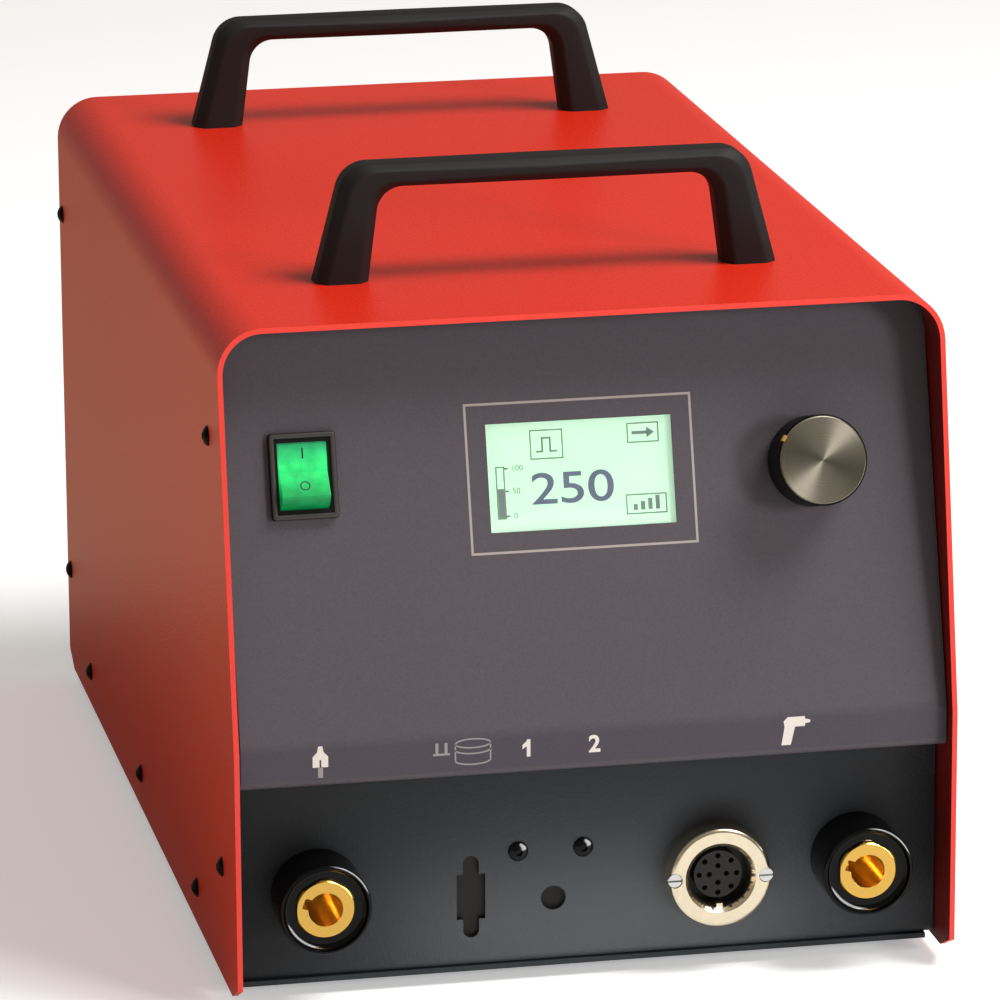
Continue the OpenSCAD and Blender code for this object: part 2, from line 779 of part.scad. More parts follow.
module switch_frame() color([0.1, 0.1, 0.1])
    on_console(switch_x, switch_up) difference() {
        union() {
            translate([0, 0, foil_t]) intersection() {
                box(bezel_w, bezel_l, bezel_t, 1.5);
                translate([0, 0, -1]) cylinder(r1 = bezel_l, r2 = bezel_l * 0.5, h = 30);
            }
            translate([0, 0, -switch_depth]) box(switch_body_w, switch_body_l, switch_depth + foil_t + 1, 0.6);
        }
        translate([0, 0, -switch_well]) linear_extrude(switch_well + foil_t + bezel_t - bezel_lip)
            square([rocker_w + 2 * rocker_gap, 2 * (rocker_r + rocker_gap)], center = true);
        linear_extrude(switch_depth) square([rocker_w + 2 * rocker_gap, rocker_mouth], center = true);
        translate([0, 0, foil_t + bezel_t - pivot_in]) rotate([0, 90, 0])
            cylinder(r = pivot_pin_r + fit, h = rocker_w + 2 * (rocker_gap + pivot_pin_l), center = true);
        for (p = terminal_spots) translate([p[0], p[1], -switch_depth - through])
            linear_extrude(6 + through) square([0.8 + 2 * fit, 6.3 + 2 * fit], center = true);
    }

terminal_spots = [for (x = [-6, 6], y = [-8, 8]) [x, y]];

// Rocker as seen along its pivot: flat upper half at rest, raised lower half, ends rounded about the pivot
module switch_rocker() color("limegreen")
    on_console(switch_x, switch_up) translate([0, 0, foil_t + bezel_t - pivot_in]) {
        half = rocker_tilt / 2;
        face = pivot_in - rocker_sink;
        heart = face * tan(half);
        reach = rocker_r + 2;
        rotate([90, 0, 90]) linear_extrude(rocker_w, center = true) intersection() {
            circle(rocker_r);
            polygon([[reach, face], [heart, face], [-reach, face + (reach + heart) * tan(rocker_tilt)],
                ray(half - rocker_skirt, reach), ray(half, -rocker_keel), ray(half + rocker_skirt, reach)]);
        }
        rotate([0, 90, 0])
            cylinder(r = pivot_pin_r, h = rocker_w + 2 * (rocker_gap + pivot_pin_l) - 0.4, center = true);
    }

module switch_terminals() color("goldenrod")
    on_console(switch_x, switch_up) for (p = terminal_spots)
        translate([p[0], p[1], -switch_depth - 8]) linear_extrude(13)
            square([0.8, 6.3], center = true);

module display_window() color([0.8, 0.9, 0.85, 0.5])
    on_console(0, display_up) translate([0, 0, -panel_t]) linear_extrude(panel_t)
        square([window_w + 2 * (display_margin - slip), window_h + 2 * (display_margin - slip)], center = true);

module display_module() color("palegreen")
    on_console(0, display_up) translate([0, 0, -board_front]) difference() {
        box(module_w, module_h, board_front - panel_t - slip, 1);
        translate([0, 0, board_front - panel_t - slip - 0.8]) linear_extrude(2)
            square([window_w + 2, window_h + 2], center = true);
    }

module control_board() color("darkgreen") {
    w = board_x[1] - board_x[0];
    difference() {
        on_console((board_x[0] + board_x[1]) / 2, display_up) translate([0, 0, -board_front - board_t]) {
            box(w, board_h, board_t, 2);
            translate([-0.19 * w, 0.13 * board_h, 0]) mirror([0, 0, 1])
                box(0.24 * board_h, 0.24 * board_h, board_part_h, 0.5);
            translate([0.06 * w, -0.16 * board_h, 0]) mirror([0, 0, 1])
                box(0.15 * w, 0.13 * board_h, 1.6 * board_part_h, 0.5);
            translate([0.25 * w, 0.18 * board_h, 0]) mirror([0, 0, 1])
                box(0.065 * w, 0.42 * board_h, 3.6 * board_part_h, 0.5);
        }
        for (p = spacer_spots) on_console(p[0], p[1]) translate([0, 0, -board_front - board_t - through])
            cylinder(r = m3_clear_r, h = board_t + 2 * through);
    }
}

module board_spacers() color("silver")
    for (p = spacer_spots) on_console(p[0], p[1]) translate([0, 0, -board_front])
        tube(spacer_r, m3_r + fit, board_front - panel_t);

module board_nuts() color("silver")
    for (p = spacer_spots) on_console(p[0], p[1]) translate([0, 0, -board_front - board_t - 2.4])
        difference() {
            hex(5.5, 2.4);
            translate([0, 0, -through]) cylinder(r = m3_r + fit, h = 5);
        }

module encoder_body() color("silver")
    on_console(knob_x, knob_up) difference() {
        union() {
            translate([0, 0, -board_front]) box(encoder_side, encoder_side, board_front - panel_t, 0.6);
            translate([0, 0, -panel_t - 0.5]) cylinder(r = bush_r, h = panel_t + 0.5 + bush_out);
        }
        translate([0, 0, -encoder_well[1]]) cylinder(r = encoder_well_r, h = encoder_well[1] - encoder_well[0]);
        translate([0, 0, -encoder_well[0] - through]) cylinder(r = shaft_r + fit, h = 20);
    }

module encoder_nut() color("silver")
    on_console(knob_x, knob_up) translate([0, 0, foil_t]) difference() {
        hex(nut_af, nut_t);
        translate([0, 0, -through]) cylinder(r = bush_r + fit, h = nut_t + 2 * through);
    }

module encoder_plunger() color("gray")
    on_console(knob_x, knob_up) translate([0, 0, -plunger_z[1]])
        cylinder(r = encoder_well_r - fit, h = plunger_z[1] - plunger_z[0]);

module encoder_shaft() color("silver")
    on_console(knob_x, knob_up) translate([0, 0, -plunger_z[0]]) {
        cylinder(r = encoder_well_r - slip, h = 0.8);
        cylinder(r = shaft_r, h = plunger_z[0] + knob_top - 3);
    }

module control_knob() color([0.1, 0.1, 0.1])
    on_console(knob_x, knob_up) difference() {
        rotate_extrude() polygon([[0, knob_base], [knob_d / 2 - 0.4, knob_base], [knob_d / 2, knob_base + 1],
            [knob_d / 2, knob_top - knob_bevel], [knob_d / 2 - knob_bevel, knob_top], [0, knob_top]]);
        translate([0, 0, -through]) cylinder(r = knob_nut_r, h = through + foil_t + knob_gap + nut_t + 1.2);
        translate([0, 0, -through]) cylinder(r = shaft_r + 0.02, h = through + knob_top - 2.8);
        translate([0, 0, knob_top - cap_t]) cylinder(r = cap_r + fit, h = 2 * cap_t);
    }

module knob_cap() color("silver")
    on_console(knob_x, knob_up) translate([0, 0, knob_top - cap_t])
        cylinder(r1 = cap_r, r2 = cap_r - 0.2, h = cap_t + 0.3);

// Black housing of a welding socket: rounded edge, dished face, neck through the panel
module socket_housing(x) color([0.1, 0.1, 0.1])
    on_lower(x, socket_z) difference() {
        union() {
            cylinder(d = socket_d, h = socket_out - socket_edge);
            cylinder(r = socket_d / 2 - socket_edge, h = socket_out);
            rotate_extrude() translate([socket_d / 2 - socket_edge, socket_out - socket_edge])
                circle(socket_edge);
            translate([0, 0, -neck_in]) cylinder(r = neck_r, h = neck_in + 1);
        }
        translate([0, 0, hex_seat]) intersection() {
            rotate([0, 0, 30]) hex(contact_af + 2 * fit, socket_out);
            cylinder(r = contact_round_r + fit, h = socket_out);
        }
        translate([0, 0, socket_out - socket_face]) {
            cylinder(r = dish_r - dish_round, h = socket_face + fit);
            translate([0, 0, dish_round]) cylinder(r = dish_r, h = socket_face - dish_round + fit);
            rotate_extrude() translate([dish_r - dish_round, dish_round]) circle(dish_round);
        }
        translate([0, 0, -neck_in - through]) cylinder(r = contact_body_r + fit, h = deep_cut);
    }

// Brass contact: rounded hexagon in front, plug bore with keyway, stud at the rear
module socket_contact(x) color("goldenrod")
    on_lower(x, socket_z) difference() {
        union() {
            translate([0, 0, hex_seat]) intersection() {
                rise = contact_front - hex_seat;
                rotate([0, 0, 30]) hex(contact_af, rise);
                rotate_extrude() polygon([[0, 0], [contact_round_r, 0],
                    [contact_round_r, rise - contact_chamfer], [contact_round_r - contact_chamfer, rise],
                    [0, rise]]);
            }
            translate([0, 0, -contact_shoulder]) cylinder(r = contact_body_r, h = contact_shoulder + hex_seat + 0.5);
            translate([0, 0, -stud_end]) cylinder(r = stud_r, h = stud_end);
        }
        translate([0, 0, contact_front - bore_depth]) cylinder(d = bore_d, h = bore_depth + 10);
        rotate([0, 0, keyway_angle]) translate([0, -keyway_w / 2, 2])
            cube([bore_d / 2 + keyway_deep, keyway_w, 30]);
    }

module socket_nut(x) color([0.1, 0.1, 0.1])
    on_lower(x, socket_z) translate([0, 0, -neck_in]) difference() {
        hex(socket_nut_af, neck_in - panel_t);
        translate([0, 0, -through]) cylinder(r = neck_r + fit, h = neck_in + through);
    }

module earth_socket_housing() socket_housing(-socket_x);
module earth_socket_contact() socket_contact(-socket_x);
module earth_socket_nut() socket_nut(-socket_x);
module gun_socket_housing() socket_housing(socket_x);
module gun_socket_contact() socket_contact(socket_x);
module gun_socket_nut() socket_nut(socket_x);

module stud_nuts() color("silver")
    for (x = [-socket_x, socket_x]) on_lower(x, socket_z)
        translate([0, 0, -contact_shoulder - strap_t - stud_nut_h]) difference() {
            hex(stud_nut_af, stud_nut_h);
            translate([0, 0, -through]) cylinder(r = stud_r + fit, h = stud_nut_h + 2 * through);
        }

module control_socket_shell() color("tan")
    on_lower(control_x, control_z) difference() {
        union() {
            rotate_extrude() polygon([[0, 0], [control_d / 2, 0], [control_d / 2, control_out - 1.4],
                [control_d / 2 - 0.6, control_out - 0.4], [control_d / 2 - 1.6, control_out], [0, control_out]]);
            translate([0, 0, -control_neck_in]) cylinder(r = control_neck_r, h = control_neck_in + 1);
        }
        difference() {
            translate([0, 0, -control_neck_in - through]) cylinder(d = control_mouth_d, h = deep_cut);
            translate([-1.2, -control_mouth_d / 2 - 1, -1]) cube([2.4, 2.2, control_out - 0.5]);
        }
        translate([0, 0, control_out - control_sink[1]])
            cylinder(d1 = control_mouth_d, d2 = control_mouth_d + 4 * control_sink[0], h = 2 * control_sink[1]);
        for (s = [-1, 1]) translate([s * control_screw_x, 0, 0]) {
            translate([0, 0, -through]) cylinder(r = m3_r + fit, h = 30);
            translate([0, 0, control_out - control_screw_sink]) cylinder(r = m3_head_r + slip, h = 10);
        }
    }

module control_socket_insert() color([0.15, 0.15, 0.16])
    on_lower(control_x, control_z) difference() {
        union() {
            translate([0, 0, -control_rear]) cylinder(d = control_mouth_d - 2 * fit, h = control_rear - panel_t);
            translate([0, 0, -control_rear]) cylinder(r = insert_r, h = control_rear + control_out - insert_recess);
        }
        for (ring = contact_rings, i = [0:ring[0] - 1]) rotate([0, 0, i * 360 / ring[0]])
            translate([ring[1], 0, -control_rear - through]) cylinder(r = contact_hole_r, h = deep_cut);
    }

module control_socket_contacts() color("goldenrod")
    on_lower(control_x, control_z)
        for (ring = contact_rings, i = [0:ring[0] - 1]) rotate([0, 0, i * 360 / ring[0]])
            translate([ring[1], 0, -control_rear - 4]) difference() {
                cylinder(r = contact_hole_r - fit, h = control_rear + 4 + control_out - insert_recess - contact_sink);
                translate([0, 0, 10]) cylinder(r = 0.6, h = 20);
            }

module control_socket_screws() color("silver")
    on_lower(control_x, control_z) for (s = [-1, 1]) translate([s * control_screw_x, 0, control_out - control_screw_sink]) {
        difference() {
            cylinder(r = m3_head_r, h = control_screw_head);
            translate([-5, -0.4, control_screw_head - 0.9]) cube([10, 0.8, 2]);
        }
        translate([0, 0, -control_out - 4]) cylinder(r = m3_r, h = control_out + 4.5);
    }

module blanking_plate() color("gray")
    on_lower(0, 0) translate([0, 0, -panel_t - blank_t]) difference() {
        translate([blank_x[0], blank_zs[0], 0])
            cube([blank_x[1] - blank_x[0], blank_zs[1] - blank_zs[0], blank_t]);
        for (x = blank_screw_x) translate([x, blank_screw_z, -through])
            cylinder(r = m4_r + fit, h = blank_t + 2 * through);
    }

module blanking_screws() color([0.1, 0.1, 0.1])
    for (x = blank_screw_x) on_lower(x, blank_screw_z) button_screw(panel_t + blank_t + 2);

module fan_frame() color([0.12, 0.12, 0.12])
    on_rear(fan_x, fan_z) translate([0, 0, -panel_t - fan_depth]) {
        difference() {
            box(fan_size, fan_size, fan_depth, 4);
            translate([0, 0, -through]) cylinder(r = fan_duct_r, h = fan_depth + 2 * through);
            for (x = [-1, 1], y = [-1, 1]) translate([x * fan_hole, y * fan_hole, -through])
                cylinder(r = m4_r + fit, h = fan_depth + 2 * through);
            // Waist between the two flanges
            difference() {
                translate([0, 0, 4]) box(fan_size + 2, fan_size + 2, fan_depth - 8, 4);
                translate([0, 0, 3]) cylinder(r = fan_duct_r + 1.8, h = fan_depth);
                for (x = [-1, 1], y = [-1, 1]) translate([x * fan_hole, y * fan_hole, 3])
                    cylinder(r = 4.4, h = fan_depth);
            }
        }
        difference() {
            union() {
                cylinder(r = fan_hub_r, h = fan_strut_t);
                for (a = [45:90:315]) rotate([0, 0, a]) translate([0, -2, 0])
                    cube([fan_duct_r + 1, 4, fan_strut_t - 1]);
            }
            translate([0, 0, 1.5]) cylinder(r = fan_axle_r + fit, h = 10);
        }
    }

module fan_rotor() color([0.12, 0.12, 0.12])
    on_rear(fan_x, fan_z) translate([0, 0, -rotor_z[1]]) {
        height = rotor_z[1] - rotor_z[0];
        difference() {
            cylinder(r = fan_hub_r, h = height);
            translate([0, 0, height]) rotate_extrude() translate([fan_hub_r, 0]) circle(1.5);
        }
        for (i = [0:fan_blades - 1]) rotate([0, 0, i * 360 / fan_blades])
            linear_extrude(height - 2, twist = 34, slices = 6)
                translate([fan_hub_r - 1, -0.8]) square([fan_duct_r - fan_tip_gap - fan_hub_r + 1, 1.6]);
        translate([0, 0, -fan_strut_t + 1.6]) cylinder(r = fan_axle_r, h = fan_strut_t);
    }

module fan_guard() color("silver")
    on_rear(fan_x, fan_z) {
        reach = fan_hole * sqrt(2);
        for (r = guard_rings) translate([0, 0, guard_t / 2 + 1.6 * wire_r]) rotate_extrude()
            translate([r, 0]) circle(wire_r);
        for (a = [45:90:315]) rotate([0, 0, a]) {
            translate([guard_rings[0] - 2, 0, guard_t / 2]) rotate([0, 90, 0])
                cylinder(r = wire_r, h = reach - guard_rings[0] - 1);
            translate([reach, 0, 0]) tube(4.2, m4_clear_r, guard_t);
        }
    }

module fan_screws() color("silver")
    on_rear(fan_x, fan_z) for (x = [-1, 1], y = [-1, 1])
        translate([x * fan_hole, y * fan_hole, guard_t]) button_screw(guard_t + panel_t + fan_screw_grip);

// Mouth of the mains inlet: a rectangle with two cut corners
module plug_outline(grow = 0) {
    w = plug_w / 2 + grow;
    h = plug_h / 2 + grow;
    polygon([[-w, -h], [w, -h], [w, h - plug_corner], [w - plug_corner, h], [plug_corner - w, h], [-w, h - plug_corner]]);
}

module mains_inlet() color([0.1, 0.1, 0.1])
    on_rear(inlet_x, inlet_z) difference() {
        union() {
            box(inlet_flange[0], inlet_flange[1], inlet_flange_t, 4);
            translate([0, 0, -inlet_depth]) box(inlet_body[0], inlet_body[1], inlet_depth + 1, 1.5);
        }
        translate([0, plug_up, -plug_floor]) linear_extrude(plug_floor + 10) plug_outline();
        translate([0, drawer_up, -drawer_in]) linear_extrude(drawer_in + 10)
            square([drawer_w + 4 * slip, drawer_h + 4 * slip], center = true);
        for (p = pin_spots) translate([p[0], p[1], -inlet_depth - through]) linear_extrude(20)
            square([pin_w + 2 * fit, pin_h + 2 * fit], center = true);
        for (s = [-1, 1]) translate([s * inlet_screw_x, 0, -through]) {
            cylinder(r = m3_r + fit, h = 10);
            translate([0, 0, through + 1.2]) cylinder(r1 = m3_r + fit, r2 = m3_head_r + slip, h = 1.8 + fit);
        }
    }

module inlet_pins() color("silver")
    on_rear(inlet_x, inlet_z) for (p = pin_spots) translate([p[0], p[1], -inlet_depth - pin_tail])
        linear_extrude(inlet_depth + pin_tail - 1) square([pin_w, pin_h], center = true);

module inlet_screws() color("silver")
    on_rear(inlet_x, inlet_z) for (s = [-1, 1]) translate([s * inlet_screw_x, 0, 0]) {
        translate([0, 0, 1.2]) cylinder(r1 = m3_r, r2 = m3_head_r, h = 1.8);
        translate([0, 0, -6]) cylinder(r = m3_r, h = 7.5);
    }

module fuse_drawer() color([0.14, 0.14, 0.14])
    on_rear(inlet_x, inlet_z) translate([0, drawer_up, 0]) difference() {
        union() {
            translate([0, 0, -drawer_in + 0.4]) linear_extrude(drawer_in + inlet_flange_t)
                square([drawer_w, drawer_h], center = true);
        }
        // Tray for the fuse, and a nail notch in the front
        translate([0, 1, -drawer_in + 2]) linear_extrude(drawer_in - 3)
            square([drawer_w - 3, drawer_h - 1.8], center = true);
        translate([0, drawer_h / 2, inlet_flange_t - 0.6]) rotate([0, 90, 0]) cylinder(r = 1.4, h = 8, center = true);
    }

// Screw-terminal capacitor standing on the tray
module capacitor(x) color([0.16, 0.2, 0.28])
    translate([x, can_mid_y, floor_z]) difference() {
        union() {
            rotate_extrude() polygon([[0, 0], [can_d / 2 - 1.5, 0], [can_d / 2, 1.5], [can_d / 2, can_h - 6],
                [can_d / 2 - 1, can_h - 5], [can_d / 2 - 1, can_h - 3], [can_d / 2, can_h - 2],
                [can_d / 2 - 1, can_h], [can_d / 2 - 4, can_h], [can_d / 2 - 4, can_h - 2], [0, can_h - 2]]);
            for (s = [-1, 1]) translate([0, s * terminal_y, can_h - 3]) cylinder(r = terminal_r, h = terminal_h + 3);
        }
        for (s = [-1, 1]) translate([0, s * terminal_y, can_h - 6]) cylinder(r = m6_r + fit, h = 20);
    }
module capacitor_left() capacitor(can_spots[0]);
module capacitor_centre() capacitor(can_spots[1]);
module capacitor_right() capacitor(can_spots[2]);

module capacitor_clips() color("silver")
    for (x = can_spots) translate([x, can_mid_y, floor_z]) {
        tube(can_d / 2 + clip_t, can_d / 2 + slip, clip_h);
        for (s = [-1, 1]) translate([0, s * clip_ear_y, 0]) difference() {
            translate([-clip_ear[0] / 2, -clip_ear[1] / 2, 0]) cube(clip_ear);
            translate([0, 0, -through]) cylinder(r = m4_clear_r, h = clip_ear[2] + 2 * through);
        }
    }

module terminal_screws() color("silver")
    for (x = can_spots, s = [-1, 1]) translate([x, can_mid_y + s * terminal_y, bar_z + strap_t]) {
        hex(bolt_af, bolt_h);
        translate([0, 0, -strap_t - bolt_in]) cylinder(r = m6_r, h = strap_t + bolt_in + 0.5);
    }

// Copper bar across one row of capacitor terminals
module bar(s, x0, x1)
    translate([x0, can_mid_y + s * terminal_y - bar_w / 2, bar_z]) cube([x1 - x0, bar_w, strap_t]);

module bar_holes(s)
    for (x = can_spots) translate([x, can_mid_y + s * terminal_y, bar_z - through])
        cylinder(r = m6_clear_r, h = strap_t + 2 * through);

module stud_hole(x)
    on_lower(x, socket_z) translate([0, 0, -contact_shoulder - strap_t - through])
        cylinder(r = stud_r + slip, h = strap_t + 2 * through);

// Copper strip of width w bent along a path in Y and Z, at a place across the case
module strip(x, w, path)
    translate([x, front_y, base_z]) along_x(w) sheet(path, -strap_t / 2, strap_t / 2, 5);

bar_mid = bar_z - base_z + strap_t / 2;

module negative_busbar() color("chocolate")
    difference() {
        union() {
            bar(-1, -socket_x - earth_strap_w / 2, can_pitch + bar_end);
            strip(-socket_x, earth_strap_w, [[can_y - terminal_y, bar_mid],
                [can_y - can_d / 2 - strap_drop, bar_mid], [can_y - can_d / 2 - strap_drop, strap_level],
                [strap_y, strap_level], [strap_y, socket_z - strap_end]]);
        }
        bar_holes(-1);
        stud_hole(-socket_x);
    }

module positive_busbar() color("chocolate")
    difference() {
        union() {
            bar(1, -can_pitch - bar_end, feed_x + feed_w / 2);
            strip(feed_x, feed_w, [[can_y + terminal_y, bar_mid], [scr_pads[1] - pad_reach, bar_mid],
                [scr_pads[1] - pad_reach, pad_top + strap_t / 2], [scr_pads[1] + pad_reach, pad_top + strap_t / 2]]);
        }
        bar_holes(1);
    }

module gun_strap() color("chocolate")
    difference() {
        strip(socket_x, earth_strap_w, [[scr_pads[0] + pad_reach, pad_top + strap_t / 2],
            [strap_y, pad_top + strap_t / 2], [strap_y, socket_z - strap_end]]);
        stud_hole(socket_x);
    }

module heatsink() color("silver")
    translate([socket_x, front_y, floor_z]) {
        length = sink_y[1] - sink_y[0];
        fins = floor((sink_w - fin_t) / fin_pitch / 2);
        translate([-sink_w / 2, sink_y[0], sink_h - sink_base]) cube([sink_w, length, sink_base]);
        for (i = [-fins:fins]) translate([i * fin_pitch - fin_t / 2, sink_y[0], 0])
            cube([fin_t, length, sink_h - sink_base + 1]);
    }

module thyristor() color([0.2, 0.2, 0.22])
    translate([socket_x, front_y, floor_z + sink_h]) {
        middle = (scr_y[0] + scr_y[1]) / 2;
        length = scr_y[1] - scr_y[0];
        translate([0, middle, 0]) box(scr_w, length, 5, 1);
        translate([0, middle, 4]) box(scr_w - scr_cap_in[0], length - scr_cap_in[1], scr_h - 4, 2);
        for (y = scr_pads) translate([0, y, scr_h - 1]) box(scr_pad[0], scr_pad[1], pad_h + 1, 0.5);
    }

module toroid() color("orange")
    translate([toroid_mid[0], front_y + toroid_mid[1], floor_z]) rotate_extrude() {
        inner = toroid_hole_r;
        outer = toroid_d / 2;
        translate([inner + toroid_round, 0]) square([outer - inner - 2 * toroid_round, toroid_h]);
        translate([inner, toroid_round]) square([outer - inner, toroid_h - 2 * toroid_round]);
        for (x = [inner + toroid_round, outer - toroid_round], y = [toroid_round, toroid_h - toroid_round])
            translate([x, y]) circle(toroid_round);
    }

module toroid_clamp() color("silver")
    translate([toroid_mid[0], front_y + toroid_mid[1], floor_z]) {
        translate([0, 0, toroid_h]) cylinder(r = toroid_hole_r + clamp_edge, h = clamp_t);
        cylinder(r = clamp_bolt_r, h = toroid_h + clamp_t + 1);
        translate([0, 0, toroid_h + clamp_t - 0.5]) hex(clamp_nut_af, clamp_nut_h);
    }

module charging_board() color("darkgreen")
    translate([charger_x[0], front_y + charger_y[0], floor_z]) {
        w = charger_x[1] - charger_x[0];
        l = charger_y[1] - charger_y[0];
        translate([0, 0, charger_up]) cube([w, l, board_t]);
        for (x = [pillar_inset, w - pillar_inset], y = [pillar_inset, l - pillar_inset])
            translate([x, y, 0]) cylinder(r = pillar_r, h = charger_up + 0.5);
        // Rectifier on its cooling plate, choke, relay and snubbers, as shares of the board
        choke_r = 0.17 * min(w, l);
        translate([0, 0, charger_up + board_t / 2]) {
            translate([0.17 * w, 0.19 * l, 0]) cube([0.52 * w, 0.06 * l, cooling_h]);
            translate([0.21 * w, 0.245 * l, 0]) cube([0.26 * w, 0.04 * l, 0.67 * cooling_h]);
            translate([0.345 * w, 0.63 * l, 0]) tube(choke_r, 0.45 * choke_r, 0.95 * choke_r);
            translate([0.7 * w, 0.45 * l, 0]) cube([0.17 * w, 0.21 * l, 0.72 * cooling_h]);
            for (i = [0:2]) translate([(0.67 + 0.105 * i) * w, 0.81 * l, 0])
                cylinder(r = 0.25 * choke_r, h = 0.55 * cooling_h);
        }
    }

cover();
base_tray();
lower_panel();
console_panel();
console_foil();
rear_panel();
front_handle();
rear_handle();
handle_screws();
cover_screws();
rubber_feet();
foot_screws();
switch_frame();
switch_rocker();
switch_terminals();
display_window();
display_module();
control_board();
board_spacers();
board_nuts();
encoder_body();
encoder_nut();
encoder_plunger();
encoder_shaft();
control_knob();
knob_cap();
earth_socket_housing();
earth_socket_contact();
earth_socket_nut();
gun_socket_housing();
gun_socket_contact();
gun_socket_nut();
stud_nuts();
control_socket_shell();
control_socket_insert();
control_socket_contacts();
control_socket_screws();
blanking_plate();
blanking_screws();
fan_frame();
fan_rotor();
fan_guard();
fan_screws();
mains_inlet();
inlet_pins();
inlet_screws();
fuse_drawer();
capacitor_left();
capacitor_centre();
capacitor_right();
capacitor_clips();
terminal_screws();
negative_busbar();
positive_busbar();
gun_strap();
heatsink();
thyristor();
toroid();
toroid_clamp();
charging_board();
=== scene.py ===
"""Looks of a stud welding power unit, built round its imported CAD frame."""

import json
import math

import bmesh
import bpy
from bpy.props import FloatProperty, FloatVectorProperty, PointerProperty, StringProperty
from mathutils import Matrix, Vector


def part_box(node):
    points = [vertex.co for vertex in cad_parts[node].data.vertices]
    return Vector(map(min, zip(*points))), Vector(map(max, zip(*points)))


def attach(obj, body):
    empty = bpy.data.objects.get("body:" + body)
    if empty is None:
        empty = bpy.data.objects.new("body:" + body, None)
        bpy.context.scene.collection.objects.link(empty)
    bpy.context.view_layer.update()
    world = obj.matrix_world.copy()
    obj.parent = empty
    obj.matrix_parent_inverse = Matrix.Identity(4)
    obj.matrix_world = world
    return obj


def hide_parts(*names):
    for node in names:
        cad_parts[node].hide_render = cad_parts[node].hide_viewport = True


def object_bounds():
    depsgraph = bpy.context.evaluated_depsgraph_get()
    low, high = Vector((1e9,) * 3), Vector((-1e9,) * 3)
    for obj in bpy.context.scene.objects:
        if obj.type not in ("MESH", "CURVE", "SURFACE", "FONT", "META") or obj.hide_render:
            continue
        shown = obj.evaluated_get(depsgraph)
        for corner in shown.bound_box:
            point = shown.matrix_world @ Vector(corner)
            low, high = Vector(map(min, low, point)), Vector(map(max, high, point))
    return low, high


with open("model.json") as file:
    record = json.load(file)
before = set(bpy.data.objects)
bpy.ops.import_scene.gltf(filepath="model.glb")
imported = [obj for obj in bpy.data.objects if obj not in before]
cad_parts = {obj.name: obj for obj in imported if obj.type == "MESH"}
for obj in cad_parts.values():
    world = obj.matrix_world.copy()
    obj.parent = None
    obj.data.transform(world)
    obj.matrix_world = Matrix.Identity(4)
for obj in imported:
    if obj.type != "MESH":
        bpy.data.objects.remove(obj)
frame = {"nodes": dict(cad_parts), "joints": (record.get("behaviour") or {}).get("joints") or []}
CAD_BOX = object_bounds()
NODES = frame["nodes"]
JOINTS = {joint["name"]: joint for joint in frame["joints"]}
MM = 0.001

bl_info = {
    "name": "Stud Welder Looks",
    "version": (1, 0, 0),
    "blender": (4, 5, 0),
    "location": "View3D > Sidebar > Stud Welder",
    "description": "Dresses the packed stud welding power unit with finishes, prints and fine pieces",
    "category": "Object",
}


def linear(code):
    """An sRGB hex colour as linear red, green and blue."""
    channels = [int(code[i:i + 2], 16) / 255 for i in (1, 3, 5)]
    return tuple(c / 12.92 if c <= 0.04045 else ((c + 0.055) / 1.055) ** 2.4 for c in channels)


# Places taken from the frame


def middle(name):
    """Centre of a CAD node's box."""
    low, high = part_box(name)
    return (low + high) / 2


def half_width(name):
    """Half of a CAD node's width, the radius of a round one that faces forward."""
    low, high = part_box(name)
    return (high.x - low.x) / 2


def axes(origin, across, up):
    """A frame with x across, y up and z out of a face."""
    across = Vector(across).normalized()
    up = Vector(up).normalized()
    out = across.cross(up)
    turn = Matrix((across, up, out)).transposed().to_4x4()
    return Matrix.Translation(origin) @ turn


ACROSS = (1, 0, 0)
KNOB_AXIS = Vector(JOINTS["knob_turn"]["axis"])
UP_CONSOLE = (0, KNOB_AXIS.z, -KNOB_AXIS.y)
CONSOLE = axes(JOINTS["knob_turn"]["pos_m"], ACROSS, UP_CONSOLE)
PIVOT = axes(JOINTS["switch_tilt"]["pos_m"], ACROSS, UP_CONSOLE)
FOIL_T = 0.4 * MM
FOIL_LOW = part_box("console_foil")[0]
STRIP_FACE = axes((0, FOIL_LOW.y, FOIL_LOW.z), ACROSS, (0, 0, 1))
# Foot and top of a print, measured from the face that carries it
INK = (-0.02 * MM, 0.06 * MM)
CRYSTAL = (0, 0.05 * MM)


def on_console(point):
    """A point of the row frame as across, up and out of the console face, from the knob's foot."""
    return CONSOLE.inverted() @ Vector(point)


# Settings a user would change


def colour_setting(name, description, code):
    """A colour, given as an sRGB hex code."""
    return FloatVectorProperty(name=name, description=description, subtype="COLOR", size=3, min=0, max=1,
                               default=linear(code))


def power_setting(name, description, watts, most):
    """The power of a lamp."""
    return FloatProperty(name=name, description=description, unit="POWER", default=watts, min=0, max=most)


def angle_setting(name, description, radians):
    """An angle of the camera."""
    return FloatProperty(name=name, description=description, subtype="ANGLE", unit="ROTATION",
                         default=radians)


def length_setting(name, description, length, least, most):
    """A length in metres."""
    return FloatProperty(name=name, description=description, subtype="DISTANCE", unit="LENGTH",
                         default=length, min=least, max=most)


class CoverSettings(bpy.types.PropertyGroup):
    """Paints of the sheet-metal case."""

    red: colour_setting("Cover red", "Powder coat of the cover", "#DC2A16")
    # The lower panel takes a darker copy of this grey as painted shade
    grey: colour_setting("Panel grey", "Powder coat of tray and rear, deeper on the lower panel", "#2E3237")
    # The sheet under the foil takes this grey so that its bend shows as a painted highlight
    foil: colour_setting("Foil grey", "Printed foil on the console and the sheet under it", "#514B50")
    edge: length_setting("Edge rounding", "Rounding of the cut sheet edges", 0.35 * MM, 0.05 * MM, 0.9 * MM)


